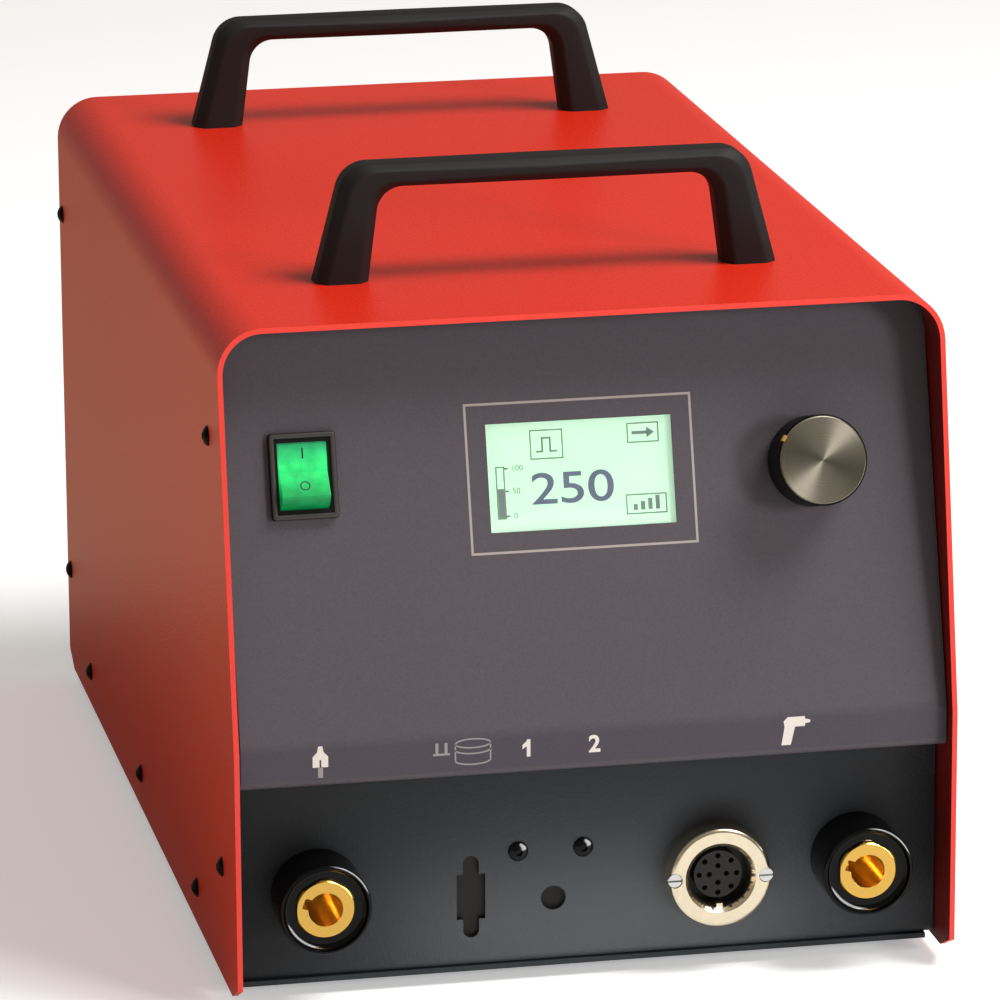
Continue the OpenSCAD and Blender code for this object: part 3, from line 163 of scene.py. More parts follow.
class HandleSettings(bpy.types.PropertyGroup):
    """Form of the moulded handles."""

    black: colour_setting("Handle black", "Grained moulding of the handles", "#1A1818")
    rounding: length_setting("Edge rounding", "Radius of the moulded edges", 1.1 * MM, 0.3 * MM, 2 * MM)


class ConsoleSettings(bpy.types.PropertyGroup):
    """Display, switch and prints."""

    reading: StringProperty(
        name="Reading", description="Plain number on the display", default="250")
    glow: FloatProperty(
        name="Backlight", description="Strength of the display's backlight", default=0.6, min=0, max=5)
    lamp: FloatProperty(
        name="Switch lamp", description="Strength of the lamp in the rocker", default=0.8, min=0, max=5)
    ink: colour_setting("Ink", "Light print on the foil", "#D8D0C8")


class StudioSettings(bpy.types.PropertyGroup):
    """Light, floor and camera."""

    key: power_setting("Key light", "Power of the light over the right", 76, 500)
    fill: power_setting("Fill light", "Power of the broad light in front of the right", 30, 500)
    catch: power_setting("Catch panel", "Power of the panel that shows in the sockets' gloss", 650, 2000)
    spark: power_setting("Bore sparkle", "Power of the lamp that shows in the brass bores", 80, 500)
    bounce: power_setting("Table bounce", "Power of the table's light on the lower panel", 0.48, 5)
    lens: FloatProperty(
        name="Lens", description="Focal length on a 36 mm sensor, in millimetres",
        default=225.78, min=20, max=500)
    distance: length_setting("Distance", "Camera to target", 2.385, 0.5, 10)
    azimuth: angle_setting("Azimuth", "Turn of the camera to the right of the front", -0.2002)
    elevation: angle_setting("Elevation", "Angle of the camera above the horizon", 0.2659)
    roll: angle_setting("Roll", "Turn of the camera about its own axis", -0.0054)
    target: FloatVectorProperty(
        name="Target", description="Point in the middle of the picture", subtype="TRANSLATION",
        unit="LENGTH", size=3, default=(-16.7 * MM, -127.5 * MM, 164.9 * MM))


# Materials


def add(tree, kind, inputs=None, **settings):
    """Adds a shader node; inputs maps a socket's name or number to a value or another node's output."""
    made = tree.nodes.new("ShaderNode" + kind)
    for name, value in settings.items():
        setattr(made, name, value)
    for key, value in (inputs or {}).items():
        if isinstance(value, bpy.types.NodeSocket):
            tree.links.new(value, made.inputs[key])
        else:
            made.inputs[key].default_value = value
    return made


def new_finish(name, space="Object", **sockets):
    """A material with one Principled shader; returns it, its tree, the shader and where patterns lie."""
    material = bpy.data.materials.new(name)
    material.use_nodes = True
    tree = material.node_tree
    shader = tree.nodes["Principled BSDF"]
    for key, value in sockets.items():
        shader.inputs[key.replace("_", " ")].default_value = value
    return material, tree, shader, add(tree, "TexCoord").outputs[space]


def rgba(colour):
    """A colour with full opacity, as a socket takes it."""
    return (*colour, 1)


def shades(colour, spread):
    """The same colour a little darker and a little lighter."""
    return [tuple(min(1, c * k) for c in colour) for k in (1 - spread, 1 + spread)]


def noise(tree, where, size, detail):
    """A cloudy pattern from 0 to 1, with lumps about a size apart."""
    return add(tree, "TexNoise", {"Vector": where, "Scale": 1 / size, "Detail": detail}).outputs["Fac"]


def blend(tree, share, pair):
    """Runs from the first of a pair of colours to the second with a pattern."""
    first, second = pair
    return add(tree, "MixRGB", {0: share, 1: rgba(first), 2: rgba(second)}).outputs[0]


def tint(tree, shader, share, pair):
    """Colours a finish with a pattern of two colours."""
    tree.links.new(blend(tree, share, pair), shader.inputs["Base Color"])


def relief(tree, shader, height, strength, depth):
    """Raises a pattern as relief that is too fine to model."""
    bump = add(tree, "Bump", {"Height": height, "Strength": strength, "Distance": depth})
    tree.links.new(bump.outputs[0], shader.inputs["Normal"])


def ramp(tree, share, *stops):
    """Runs through sRGB hex colours, each at its own share of the way."""
    made = add(tree, "ValToRGB", {0: share})
    marks = made.color_ramp.elements
    for mark, (position, code) in zip((marks[0], marks[1]), (stops[0], stops[-1])):
        mark.position = position
        mark.color = rgba(linear(code))
    for position, code in stops[1:-1]:
        marks.new(position).color = rgba(linear(code))
    return made.outputs[0]


def powder_coat(name, colour, roughness, peel, inside=1.0):
    """Baked polyester powder: one even colour with a fine pebbled skin that breaks up highlights.

    When the inside share is below one, the inside faces of a folded cover keep only that share of the colour
    as painted shade, and edges that face forward are paler as a painted sheen.
    """
    material, tree, shader, where = new_finish(name, Roughness=roughness, IOR=1.5, Specular_IOR_Level=0.28)
    # Cloudy tone from the spray pattern, a hand's breadth across
    cloud = blend(tree, noise(tree, where, 90 * MM, 3), shades(colour, 0.05))
    # Pebbles of the cured powder, about a millimetre across
    skin = noise(tree, where, peel, 2)
    speckle = blend(tree, skin, shades(colour, 0.55))
    coat = add(tree, "MixRGB", {0: 0.5, 1: cloud, 2: speckle}).outputs[0]
    if inside < 1:
        coat = paint_inside_shade_and_edge_sheen(tree, where, coat, colour, inside)
    tree.links.new(coat, shader.inputs["Base Color"])
    relief(tree, shader, skin, 0.7, 0.25 * MM)
    return material


def paint_inside_shade_and_edge_sheen(tree, where, coat, colour, inside):
    """Painted shade on the inside faces of the cover, and a paler painted sheen on its forward-facing cut
    edges.
    """
    margin, ahead, edge_sheen_share = 20 * MM, 0.75, 0.03
    facing = add(tree, "NewGeometry").outputs["Normal"]
    # A face that looks back at the middle of the cover is an inside one
    heart = (0, 0, CAD_BOX[1].z / 2)
    spoke = add(tree, "VectorMath", {0: where, 1: heart}, operation="SUBTRACT").outputs[0]
    flat = add(tree, "VectorMath", {0: spoke, 1: (1, 0, 1)}, operation="MULTIPLY").outputs[0]
    outward = add(tree, "VectorMath", {0: flat, 1: facing}, operation="DOT_PRODUCT").outputs["Value"]
    # The inside faces keep only a share of the colour: painted shade
    thin = [inside * part for part in colour]
    # A face that looks forward, the cut front edge, is made paler: a painted sheen
    rearward = add(tree, "SeparateXYZ", {0: facing}).outputs["Y"]
    pale = [(1 - edge_sheen_share) * part + edge_sheen_share for part in colour]
    for measure, limit, tone in ((outward, -margin, thin), (rearward, -ahead, pale)):
        there = add(tree, "Math", {0: measure, 1: limit}, operation="LESS_THAN").outputs[0]
        coat = add(tree, "MixRGB", {0: there, 1: coat, 2: rgba(tone)}).outputs[0]
    return coat


def printed_foil(colour):
    """Matt polyester foil with a fine embossed grain, slightly brown, darker on the icon strip as painted
    shade.
    """
    material, tree, shader, where = new_finish("Printed polyester foil", Roughness=0.45, IOR=1.57,
                                               Specular_IOR_Level=0.2)
    # The real grain is 0.2 mm and too fine to show, so it is drawn at 0.7 mm
    grain = noise(tree, where, 0.7 * MM, 2)
    face = blend(tree, grain, shades(colour, 0.24))
    # The strip under the fold is darker, painted shade where the steeper face gets less light from above; the
    # tone changes over the bend
    fold, bend, deeper = FOIL_LOW.z + 13 * MM, 4 * MM, (0.78, 0.77, 0.85)
    height = add(tree, "SeparateXYZ", {0: where}).outputs["Z"]
    strip = add(tree, "MapRange", {"Value": height, "From Min": fold - bend / 2, "From Max": fold + bend / 2,
                                   "To Min": 1, "To Max": 0}).outputs[0]
    tone = add(tree, "MixRGB", {0: strip, 1: face, 2: rgba(deeper)}, blend_type="MULTIPLY").outputs[0]
    tree.links.new(tone, shader.inputs["Base Color"])
    relief(tree, shader, grain, 0.15, 0.05 * MM)
    return material


def moulded_plastic(name, colour, roughness, grain, gloss=0.35):
    """Injection-moulded polyamide or ABS with spark-eroded grain, which scatters its highlights."""
    material, tree, shader, where = new_finish(name, Roughness=roughness, IOR=1.53, Specular_IOR_Level=gloss)
    pits = noise(tree, where, grain, 3)
    tint(tree, shader, pits, shades(colour, 0.14))
    relief(tree, shader, pits, 0.25, 0.08 * MM)
    return material


def metal(name, code, roughness, mark, stretch=(1, 1, 1)):
    """Bare or plated metal, with fine tool or rolling marks that run along the unstretched way."""
    material, tree, shader, where = new_finish(name, Metallic=1)
    drawn = add(tree, "Mapping", {"Vector": where, "Scale": stretch}).outputs[0]
    marks = noise(tree, drawn, mark, 4)
    tint(tree, shader, marks, shades(linear(code), 0.12))
    rough = add(tree, "MapRange", {"Value": marks, "To Min": roughness * 0.8, "To Max": roughness * 1.25})
    tree.links.new(rough.outputs[0], shader.inputs["Roughness"])
    relief(tree, shader, marks, 0.15, 0.03 * MM)
    return material


def spun_aluminium():
    """Champagne-anodised aluminium spun on a lathe: rings that fan the light into two bright wedges."""
    # The rotation sets where the wedges stand under the studio's lights
    material, tree, shader, where = new_finish("Spun champagne aluminium", Metallic=1, Roughness=0.48,
                                               Anisotropic=0.9, Anisotropic_Rotation=0.31)
    # The real pitch of the rings is 0.1 mm and too fine to show, so they are drawn about 0.6 mm apart
    pitch = 0.6 * MM
    flat = add(tree, "VectorMath", {0: where, 1: (1, 1, 0)}, operation="MULTIPLY").outputs[0]
    reach = add(tree, "VectorMath", {0: flat}, operation="LENGTH").outputs["Value"]
    rings = add(tree, "TexNoise", {"W": reach, "Scale": 1 / pitch, "Detail": 3}, noise_dimensions="1D")
    tint(tree, shader, rings.outputs["Fac"], shades(linear("#968F80"), 0.14))
    tangent = add(tree, "Tangent", direction_type="RADIAL", axis="Z")
    tree.links.new(tangent.outputs[0], shader.inputs["Tangent"])
    return material


def lit_green_plastic(strength):
    """Clear green polycarbonate over a neon lamp: patchy, glowing brightest above the middle, with painted
    shade deep at the lower end and a greyish painted sheen at the top.
    """
    material, tree, shader, where = new_finish("Lit green polycarbonate", "Generated", Roughness=0.3,
                                               IOR=1.585, Specular_IOR_Level=0.2, Emission_Strength=strength)
    height = add(tree, "SeparateXYZ", {0: where}).outputs["Z"]
    # The lamp's glow runs by height, brightest above the middle; the deep lower end is painted shade and the
    # greyish top a painted sheen
    glow = ramp(tree, height, (0, "#04602E"), (0.2, "#05703A"), (0.34, "#08B456"), (0.5, "#26F07A"),
                (0.68, "#44FF88"), (0.85, "#3CD27E"), (1, "#2E8A60"))
    # Streaks a quarter of the rocker apart
    streaks = noise(tree, where, 0.25, 2)
    patchy = add(tree, "MapRange", {"Value": streaks, "From Min": 0.3, "From Max": 0.7,
                                    "To Min": 0.75, "To Max": 1.2}).outputs[0]
    uneven = add(tree, "VectorMath", {0: glow, "Scale": patchy}, operation="SCALE").outputs[0]
    tint(tree, shader, streaks, (linear("#0A5A2E"), linear("#12743E")))
    tree.links.new(uneven, shader.inputs["Emission Color"])
    return material


def display_glow(strength):
    """Backlit liquid-crystal film: pale mint, a little brighter along the lamp at the lower edge."""
    material, tree, shader, where = new_finish("Backlit display film", "Generated", Roughness=0.35, IOR=1.5,
                                               Emission_Strength=strength)
    height = add(tree, "SeparateXYZ", {0: where}).outputs["Y"]
    rise = ramp(tree, height, (0, "#E2FFEA"), (0.22, "#C0EBCB"))
    # Uneven patches, less than half of the film apart
    patch = noise(tree, where, 0.4, 2)
    tone = add(tree, "MixRGB", {0: patch, 1: rise, 2: rgba(linear("#CFF2D6"))}).outputs[0]
    for socket in ("Base Color", "Emission Color"):
        tree.links.new(tone, shader.inputs[socket])
    return material


def clear_acrylic():
    """Cast acrylic: clear, flat and hard-polished."""
    material, tree, shader, where = new_finish("Clear cast acrylic", Roughness=0.03, IOR=1.49,
                                               Transmission_Weight=1.0)
    haze = noise(tree, where, 30 * MM, 2)
    tint(tree, shader, haze, (linear("#FAFFFC"), linear("#FFFFFF")))
    return material


def screen_ink(name, colour):
    """Screen-printing ink: flat and opaque, a little uneven from the mesh of the screen."""
    material, tree, shader, where = new_finish(name, Roughness=0.55, IOR=1.5)
    tint(tree, shader, noise(tree, where, 0.8 * MM, 1), shades(colour, 0.06))
    return material


def circuit_board():
    """Green solder mask over copper tracks, drawn as faint blocks 4 mm apart."""
    material, tree, shader, where = new_finish("Lacquered circuit board", Roughness=0.3, IOR=1.55)
    tracks = add(tree, "TexVoronoi", {"Vector": where, "Scale": 1 / (4 * MM)}, distance="CHEBYCHEV")
    tint(tree, shader, tracks.outputs["Distance"], (linear("#1D5A34"), linear("#123C23")))
    return material


def wound_tape():
    """Amber polyester tape wrapped round a winding, in turns 12 mm apart."""
    material, tree, shader, where = new_finish("Wound polyester tape", Roughness=0.35, IOR=1.6)
    # Length of one wave at a scale of 1, and of one turn
    wave, turn = 0.31, 12 * MM
    turns = add(tree, "TexWave", {"Vector": where, "Scale": wave / turn, "Distortion": 1.5}).outputs["Fac"]
    tint(tree, shader, turns, (linear("#9A6218"), linear("#C98A2E")))
    relief(tree, shader, turns, 0.3, 0.3 * MM)
    return material


def dress(material, *names):
    """Gives CAD nodes their finish."""
    for name in names:
        mesh = NODES[name].data
        mesh.materials.clear()
        mesh.materials.append(material)


def soften(width, *names, segments=2, angle=40):
    """Rounds the edges of CAD nodes sharper than an angle, with modifiers that leave the meshes alone."""
    same_place, same_plane = 0.002 * MM, math.radians(0.6)
    for name in names:
        thing = NODES[name]
        weld = thing.modifiers.new("Join corners", "WELD")
        weld.merge_threshold = same_place
        flats = thing.modifiers.new("Merge flats", "DECIMATE")
        flats.decimate_type = "DISSOLVE"
        flats.angle_limit = same_plane
        edge = thing.modifiers.new("Round edges", "BEVEL")
        edge.width = width
        edge.segments = segments
        edge.limit_method = "ANGLE"
        edge.angle_limit = math.radians(angle)
        shade = thing.modifiers.new("Even shading", "WEIGHTED_NORMAL")
        shade.keep_sharp = True


# Mesh helpers


def new_object(name, data):
    """An object in the scene's own collection."""
    thing = bpy.data.objects.new(name, data)
    bpy.context.scene.collection.objects.link(thing)
    return thing


def new_piece(name, bm, material, body, place, sharp=35):
    """Makes a piece of a bmesh in local axes, puts it in place and lets it ride on a body."""
    thing = new_object(name, finish_mesh(name, bm, sharp))
    thing.data.materials.append(material)
    thing.matrix_world = place
    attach(thing, body)
    return thing


def finish_mesh(name, bm, sharp=35):
    """Closes a bmesh into a mesh, smooth apart from edges sharper than an angle in degrees."""
    bmesh.ops.recalc_face_normals(bm, faces=bm.faces)
    mesh = bpy.data.meshes.new(name)
    bm.to_mesh(mesh)
    bm.free()
    mesh.shade_smooth()
    mesh.set_sharp_from_angle(angle=math.radians(sharp))
    return mesh


def mm(points, x=0.0, y=0.0):
    """Points given in millimetres, moved to a place in metres."""
    return [(x + a * MM, y + b * MM) for a, b in points]


def oblong(left, foot, right, top):
    """Corners of a rectangle."""
    return [(left, foot), (right, foot), (right, top), (left, top)]


def arc(cx, cy, rx, ry, start, end, steps):
    """Points of an elliptic arc, angles in degrees."""
    turns = [math.radians(start + (end - start) * i / steps) for i in range(steps + 1)]
    return [(cx + rx * math.cos(t), cy + ry * math.sin(t)) for t in turns]


def oval(cx, cy, rx, ry):
    """Points of a whole ellipse, every ten degrees."""
    return arc(cx, cy, rx, ry, 0, 350, 35)


def rounded(wide, tall, corner, inset):
    """Points of a rectangle with rounded corners, drawn in by an inset all round."""
    least, steps = 0.2 * MM, 4
    turn = max(corner - inset, least)
    a, b = wide / 2 - inset - turn, tall / 2 - inset - turn
    points = []
    for start, x, y in ((0, a, b), (90, -a, b), (180, -a, -b), (270, a, -b)):
        points += arc(x, y, turn, turn, start, start + 90, steps)
    return points


def slab(bm, outline, levels):
    """A closed flat plate with the given outline, between two levels."""
    low, high = levels
    base = [bm.verts.new((x, y, low)) for x, y in outline]
    face = bm.faces.new(base)
    grown = bmesh.ops.extrude_face_region(bm, geom=[face])["geom"]
    for vert in (g for g in grown if isinstance(g, bmesh.types.BMVert)):
        vert.co.z = high


def stroke(bm, points, width, levels, closed=False):
    """A printed line of even width along points, as one closed ribbon between two levels."""
    no_length, sharpest_mitre = 1e-9, 0.4
    count = len(points)
    left, right = [], []
    for i, (x, y) in enumerate(points):
        before = Vector(points[i - 1] if i or closed else points[0])
        after = Vector(points[(i + 1) % count] if i < count - 1 or closed else points[-1])
        here = Vector((x, y))
        ways = [w.normalized() for w in (here - before, after - here) if w.length > no_length]
        normals = [Vector((-w.y, w.x)) for w in ways]
        normal = sum(normals, Vector((0, 0))).normalized()
        reach = width / 2 / max(sharpest_mitre, normal.dot(normals[0]))
        left.append(here + normal * reach)
        right.append(here - normal * reach)
    rims = [[bm.verts.new((*p, z)) for p in side] for z in levels for side in (left, right)]
    pairs = [(i, (i + 1) % count) for i in range(count if closed else count - 1)]
    loop = [rims[0], rims[1], rims[3], rims[2]]
    for i, j in pairs:
        for a, b in zip(loop, loop[1:] + loop[:1]):
            bm.faces.new((a[i], a[j], b[j], b[i]))
    if not closed:
        for i in (0, -1):
            bm.faces.new([rim[i] for rim in loop])


def skin(bm, a, b):
    """Joins two closed rows of corners of equal count with faces."""
    for j in range(len(a)):
        k = (j + 1) % len(a)
        bm.faces.new((a[j], a[k], b[k], b[j]))


def loft(bm, rings):
    """Skins closed rings of equal count and caps both ends."""
    rows = [[bm.verts.new(p) for p in ring] for ring in rings]
    for a, b in zip(rows, rows[1:]):
        skin(bm, a, b)
    bm.faces.new(rows[0])
    bm.faces.new(rows[-1])


def revolve(bm, profile, steps):
    """Turns a profile of (radius, height) about z; a radius of 0 closes to a point."""
    turns = [2 * math.pi * i / steps for i in range(steps)]
    rows = []
    for radius, height in profile:
        if radius == 0:
            rows.append([bm.verts.new((0, 0, height))])
            continue
        rows.append([bm.verts.new((radius * math.cos(t), radius * math.sin(t), height)) for t in turns])
    for a, b in zip(rows, rows[1:]):
        for j in range(steps):
            k = (j + 1) % steps
            corners = [a[j % len(a)], a[k % len(a)], b[k % len(b)], b[j % len(b)]]
            unique = list(dict.fromkeys(corners))
            if len(unique) > 2:
                bm.faces.new(unique)


def printed_number(name, digits, size, ink, place, weight=0.0):
    """Plain digits as a thin print, centred on their place."""
    text = bpy.data.curves.new(name, "FONT")
    text.body = digits
    text.align_x = "CENTER"
    text.align_y = "CENTER"
    text.size = size
    text.offset = weight
    text.extrude = 0.03 * MM
    text.materials.append(ink)
    number = new_object(name, text)
    number.matrix_world = place
    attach(number, "root")


# Pieces


class STUDWELDER_OT_case(bpy.types.Operator):
    """Paint the cover, the panels and the tray"""

    bl_idname = "studwelder.case"
    bl_label = "Case Sheets"

    def execute(self, context):
        paints = context.scene.studwelder_cover
        matt, peel, lower_panel_shade = 0.5, 0.9 * MM, 0.25
        deep = [lower_panel_shade * part for part in paints.grey]
        # The inside faces of the cover keep 22% of the red as painted shade, and its forward-facing edges are
        # paler as a painted sheen
        dress(powder_coat("Red semi-gloss powder coat", paints.red, 0.36, 1.3 * MM, inside=0.22), "cover")
        dress(powder_coat("Anthracite matt powder coat", paints.grey, matt, peel), "base_tray", "rear_panel")
        # The lower panel takes a quarter of the grey, a shaded copy of the same paint: painted shade under
        # the console
        dress(powder_coat("Anthracite powder coat in painted shade", deep, matt, peel), "lower_panel")
        # The console sheet takes the foil's lighter grey so that its lower bend shows light: a painted
        # highlight
        dress(powder_coat("Foil grey powder coat as painted highlight", paints.foil, matt, peel), "console_panel")
        dress(printed_foil(paints.foil), "console_foil")
        soften(paints.edge, "cover", "lower_panel", "rear_panel", "base_tray")
        return {"FINISHED"}


def handle_section(width, depth, bevel, rounding):
    """Bevelled outline across the width and through the depth, with rounded corners."""
    a, b = width / 2, depth / 2
    c = min(bevel, width / 3)
    half = [(a, c - b), (a, b - c), (a - c, b), (c - a, b)]
    corners = half + [(-x, -y) for x, y in half]
    points = []
    for i, corner in enumerate(corners):
        here = Vector(corner)
        back = (Vector(corners[i - 1]) - here).normalized()
        on = (Vector(corners[(i + 1) % len(corners)]) - here).normalized()
        start, end = here + back * rounding, here + on * rounding
        for share in (0, 0.25, 0.5, 0.75, 1):
            points.append(start * (1 - share) ** 2 + here * 2 * share * (1 - share) + end * share ** 2)
    return points


class STUDWELDER_OT_handles(bpy.types.Operator):
    """Build the two bridge handles as bevelled mouldings"""

    bl_idname = "studwelder.handles"
    bl_label = "Handles"

    def execute(self, context):
        settings = context.scene.studwelder_handles
        black = moulded_plastic("Grained black polyamide", settings.black, 0.62, 0.9 * MM, gloss=0.25)
        for name in ("front_handle", "rear_handle"):
            low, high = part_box(name)
            bm = bmesh.new()
            loft(bm, self.rings(high - low, settings.rounding))
            place = Matrix.Translation(((low.x + high.x) / 2, (low.y + high.y) / 2, low.z))
            thing = new_piece(name + "_moulding", bm, black, "root", place, sharp=60)
            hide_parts(name)
        return {"FINISHED"}

    def rings(self, size, rounding):
        """Sections from the foot of one leg over the grip to the other foot."""
        foot, grip, bevel = 20.5 * MM, 9 * MM, 4 * MM
        outer_lean, outer_bend = 0.265, 12 * MM
        inner_lean, inner_bend = 0.13, 10 * MM
        outer = self.outline(size.x / 2, size.z, outer_lean, outer_bend)
        inner = self.outline(size.x / 2 - foot, size.z - grip, inner_lean, inner_bend)
        pairs = list(zip(outer, inner))
        pairs += [(Vector((-a.x, a.y)), Vector((-b.x, b.y))) for a, b in reversed(pairs[:-1])]
        rings = []
        for a, b in pairs:
            heart, way = (a + b) / 2, (a - b).normalized()
            section = handle_section((a - b).length, size.y, bevel, rounding)
            rings.append([(heart.x + way.x * u, v, heart.y + way.y * u) for u, v in section])
        return rings

    def outline(self, x, z, lean, radius):
        """Up the leaning leg, round the corner and along to the middle of the grip."""
        steps = 14
        slope = math.atan(lean)
        turn = math.pi / 2 - slope
        corner = Vector((x - lean * z, z))
        start = corner - Vector((-math.sin(slope), math.cos(slope))) * radius * math.tan(turn / 2)
        heart = start - Vector((math.cos(slope), math.sin(slope))) * radius
        angles = [slope + turn * i / steps for i in range(steps + 1)]
        bend = [heart + Vector((math.cos(t), math.sin(t))) * radius for t in angles]
        return [Vector((x, 0)), *bend, Vector((0, z))]


class STUDWELDER_OT_switch(bpy.types.Operator):
    """Light the rocker, border its frame and print its two marks"""

    bl_idname = "studwelder.switch"
    bl_label = "Power Switch"

    def execute(self, context):
        lamp = context.scene.studwelder_console.lamp
        # The frame is dressed black where it shows inside and beside the rim: painted shade round the rocker
        shaded_frame_black = moulded_plastic("Frame polyamide in painted shade", linear("#0D0C0C"), 0.5, 1.2 * MM, gloss=0.2)
        dress(shaded_frame_black, "switch_frame")
        dress(lit_green_plastic(lamp), "switch_rocker")
        dress(metal("Tinned brass", "#C9B27A", 0.3, 2 * MM), "switch_terminals")
        soften(0.4 * MM, "switch_frame", segments=3)
        soften(1.3 * MM, "switch_rocker", segments=5, angle=20)
        self.rim()
        self.marks()
        return {"FINISHED"}

    def rim(self):
        """Raised grey border round the frame's face; the frame under it is dressed black, a painted shade
        step next to the rocker.
        """
        wide, tall, corner, frame_t = 25 * MM, 32 * MM, 1.5 * MM, 2.2 * MM
        # Inset from the outline and height over the frame, in millimetres
        section = ((0.2, -0.05), (0.25, 0.4), (0.55, 0.7), (1.7, 0.7), (2, 0.4), (2.05, -0.05))
        bm = bmesh.new()
        rows = []
        for inset, height in section:
            outline = rounded(wide, tall, corner, inset * MM)
            rows.append([bm.verts.new((x, y, height * MM)) for x, y in outline])
        for a, b in zip(rows, rows[1:] + rows[:1]):
            skin(bm, a, b)
        heart = on_console(JOINTS["switch_tilt"]["pos_m"])
        border = moulded_plastic("Grey-black polyamide", linear("#3B3734"), 0.45, 1 * MM)
        place = CONSOLE @ Matrix.Translation((heart.x, heart.y, FOIL_T + frame_t))
        new_piece("switch_rim", bm, border, "root", place, sharp=50)

    def marks(self):
        """A bar on the upper face of the rocker and a ring on the lower one, which is turned by the tilt."""
        ink = screen_ink("Black switch ink", linear("#0F2A1A"))
        tilt = math.radians(JOINTS["switch_tilt"]["range_deg"][1])
        # Both faces are this far from the pivot, and they meet at the ridge
        face = 5.8 * MM
        ridge = face * math.tan(tilt / 2)
        bm = bmesh.new()
        stroke(bm, mm([(0, 6.4), (0, 10.4)]), 0.6 * MM, INK)
        flat = PIVOT @ Matrix.Translation((0, 0, face))
        new_piece("rocker_on_mark", bm, ink, "rocker", flat)
        bm = bmesh.new()
        ring, drop = 1.7 * MM, 5.8 * MM
        stroke(bm, oval(0, -drop, ring, ring), 0.5 * MM, INK, closed=True)
        slope = PIVOT @ Matrix.Translation((0, ridge, face)) @ Matrix.Rotation(-tilt, 4, "X")
        new_piece("rocker_off_mark", bm, ink, "rocker", slope)


class STUDWELDER_OT_display(bpy.types.Operator):
    """Fit the backlit film, its number and signs, and the clear window"""

    bl_idname = "studwelder.display"
    bl_label = "Display"

    def execute(self, context):
        settings = context.scene.studwelder_console
        dress(clear_acrylic(), "display_window")
        dress(moulded_plastic("Black display frame", linear("#17181A"), 0.5, 1 * MM), "display_module")
        centre = on_console(middle("display_window"))
        film_out, film_t = -3.2 * MM, 0.5 * MM
        place = CONSOLE @ Matrix.Translation((centre.x, centre.y, film_out))
        bm = bmesh.new()
        slab(bm, mm(oblong(-36, -21, 36, 21)), (0, film_t))
        new_piece("display_film", bm, display_glow(settings.glow), "root", place)
        face = place @ Matrix.Translation((0, 0, film_t))
        dots = screen_ink("Dark liquid crystal", linear("#787E9E"))
        lines = screen_ink("Faint liquid crystal", linear("#8F9F9C"))
        wide = Matrix.Diagonal((1.3, 1, 1, 1))
        printed_number("display_number", settings.reading, 16.5 * MM, dots,
                       self.spot(face, -3, -5.4) @ wide, weight=0.12 * MM)
        line = 0.5 * MM
        bm = bmesh.new()
        self.gauge(bm, line, face, lines)
        self.keys(bm, line)
        new_piece("display_signs", bm, lines, "root", face)
        return {"FINISHED"}

    def spot(self, face, x, y):
        """Place of a number on the film, in millimetres, raised to lie on its face."""
        return face @ Matrix.Translation((x * MM, y * MM, 0.03 * MM))

    def gauge(self, bm, line, face, ink):
        """Level gauge at the left, half full, with three ticks and their numbers."""
        stroke(bm, mm(oblong(-31.5, -15, -28.6, 4)), line, CRYSTAL, closed=True)
        slab(bm, mm(oblong(-31.2, -14.7, -28.9, -4)), CRYSTAL)
        for y, number in ((-14.2, "0"), (-5, "50"), (3.4, "100")):
            stroke(bm, mm([(-28.4, y), (-27, y)]), line * 1.4, CRYSTAL)
            spot = self.spot(face, -25.6 + 0.7 * len(number), y)
            printed_number("scale_number_" + number, number, 3 * MM, ink, spot)

    def keys(self, bm, line):
        """Three key fields: a pulse, a row of bars and an arrow."""
        for x, y, w, h in ((-12, 11.6, 12, 10.5), (24.6, -12.4, 15, 7), (24.6, 14, 11.6, 7)):
            field = oblong(x - w / 2, y - h / 2, x + w / 2, y + h / 2)
            stroke(bm, mm(field), line, CRYSTAL, closed=True)
        pulse = [(-16, 9), (-13.6, 9), (-13.6, 14), (-10.6, 14), (-10.6, 9), (-8, 9)]
        stroke(bm, mm(pulse), line * 1.4, CRYSTAL)
        pitch, bar = 2.8, 1.6
        for i in range(4):
            left = 19.6 + pitch * i
            slab(bm, mm(oblong(left, -14.6, left + bar, -12.4 + i)), CRYSTAL)
        stroke(bm, mm([(20.4, 14), (26.6, 14)]), line * 2.4, CRYSTAL)
        slab(bm, mm([(26, 12), (29, 14), (26, 16)]), CRYSTAL)


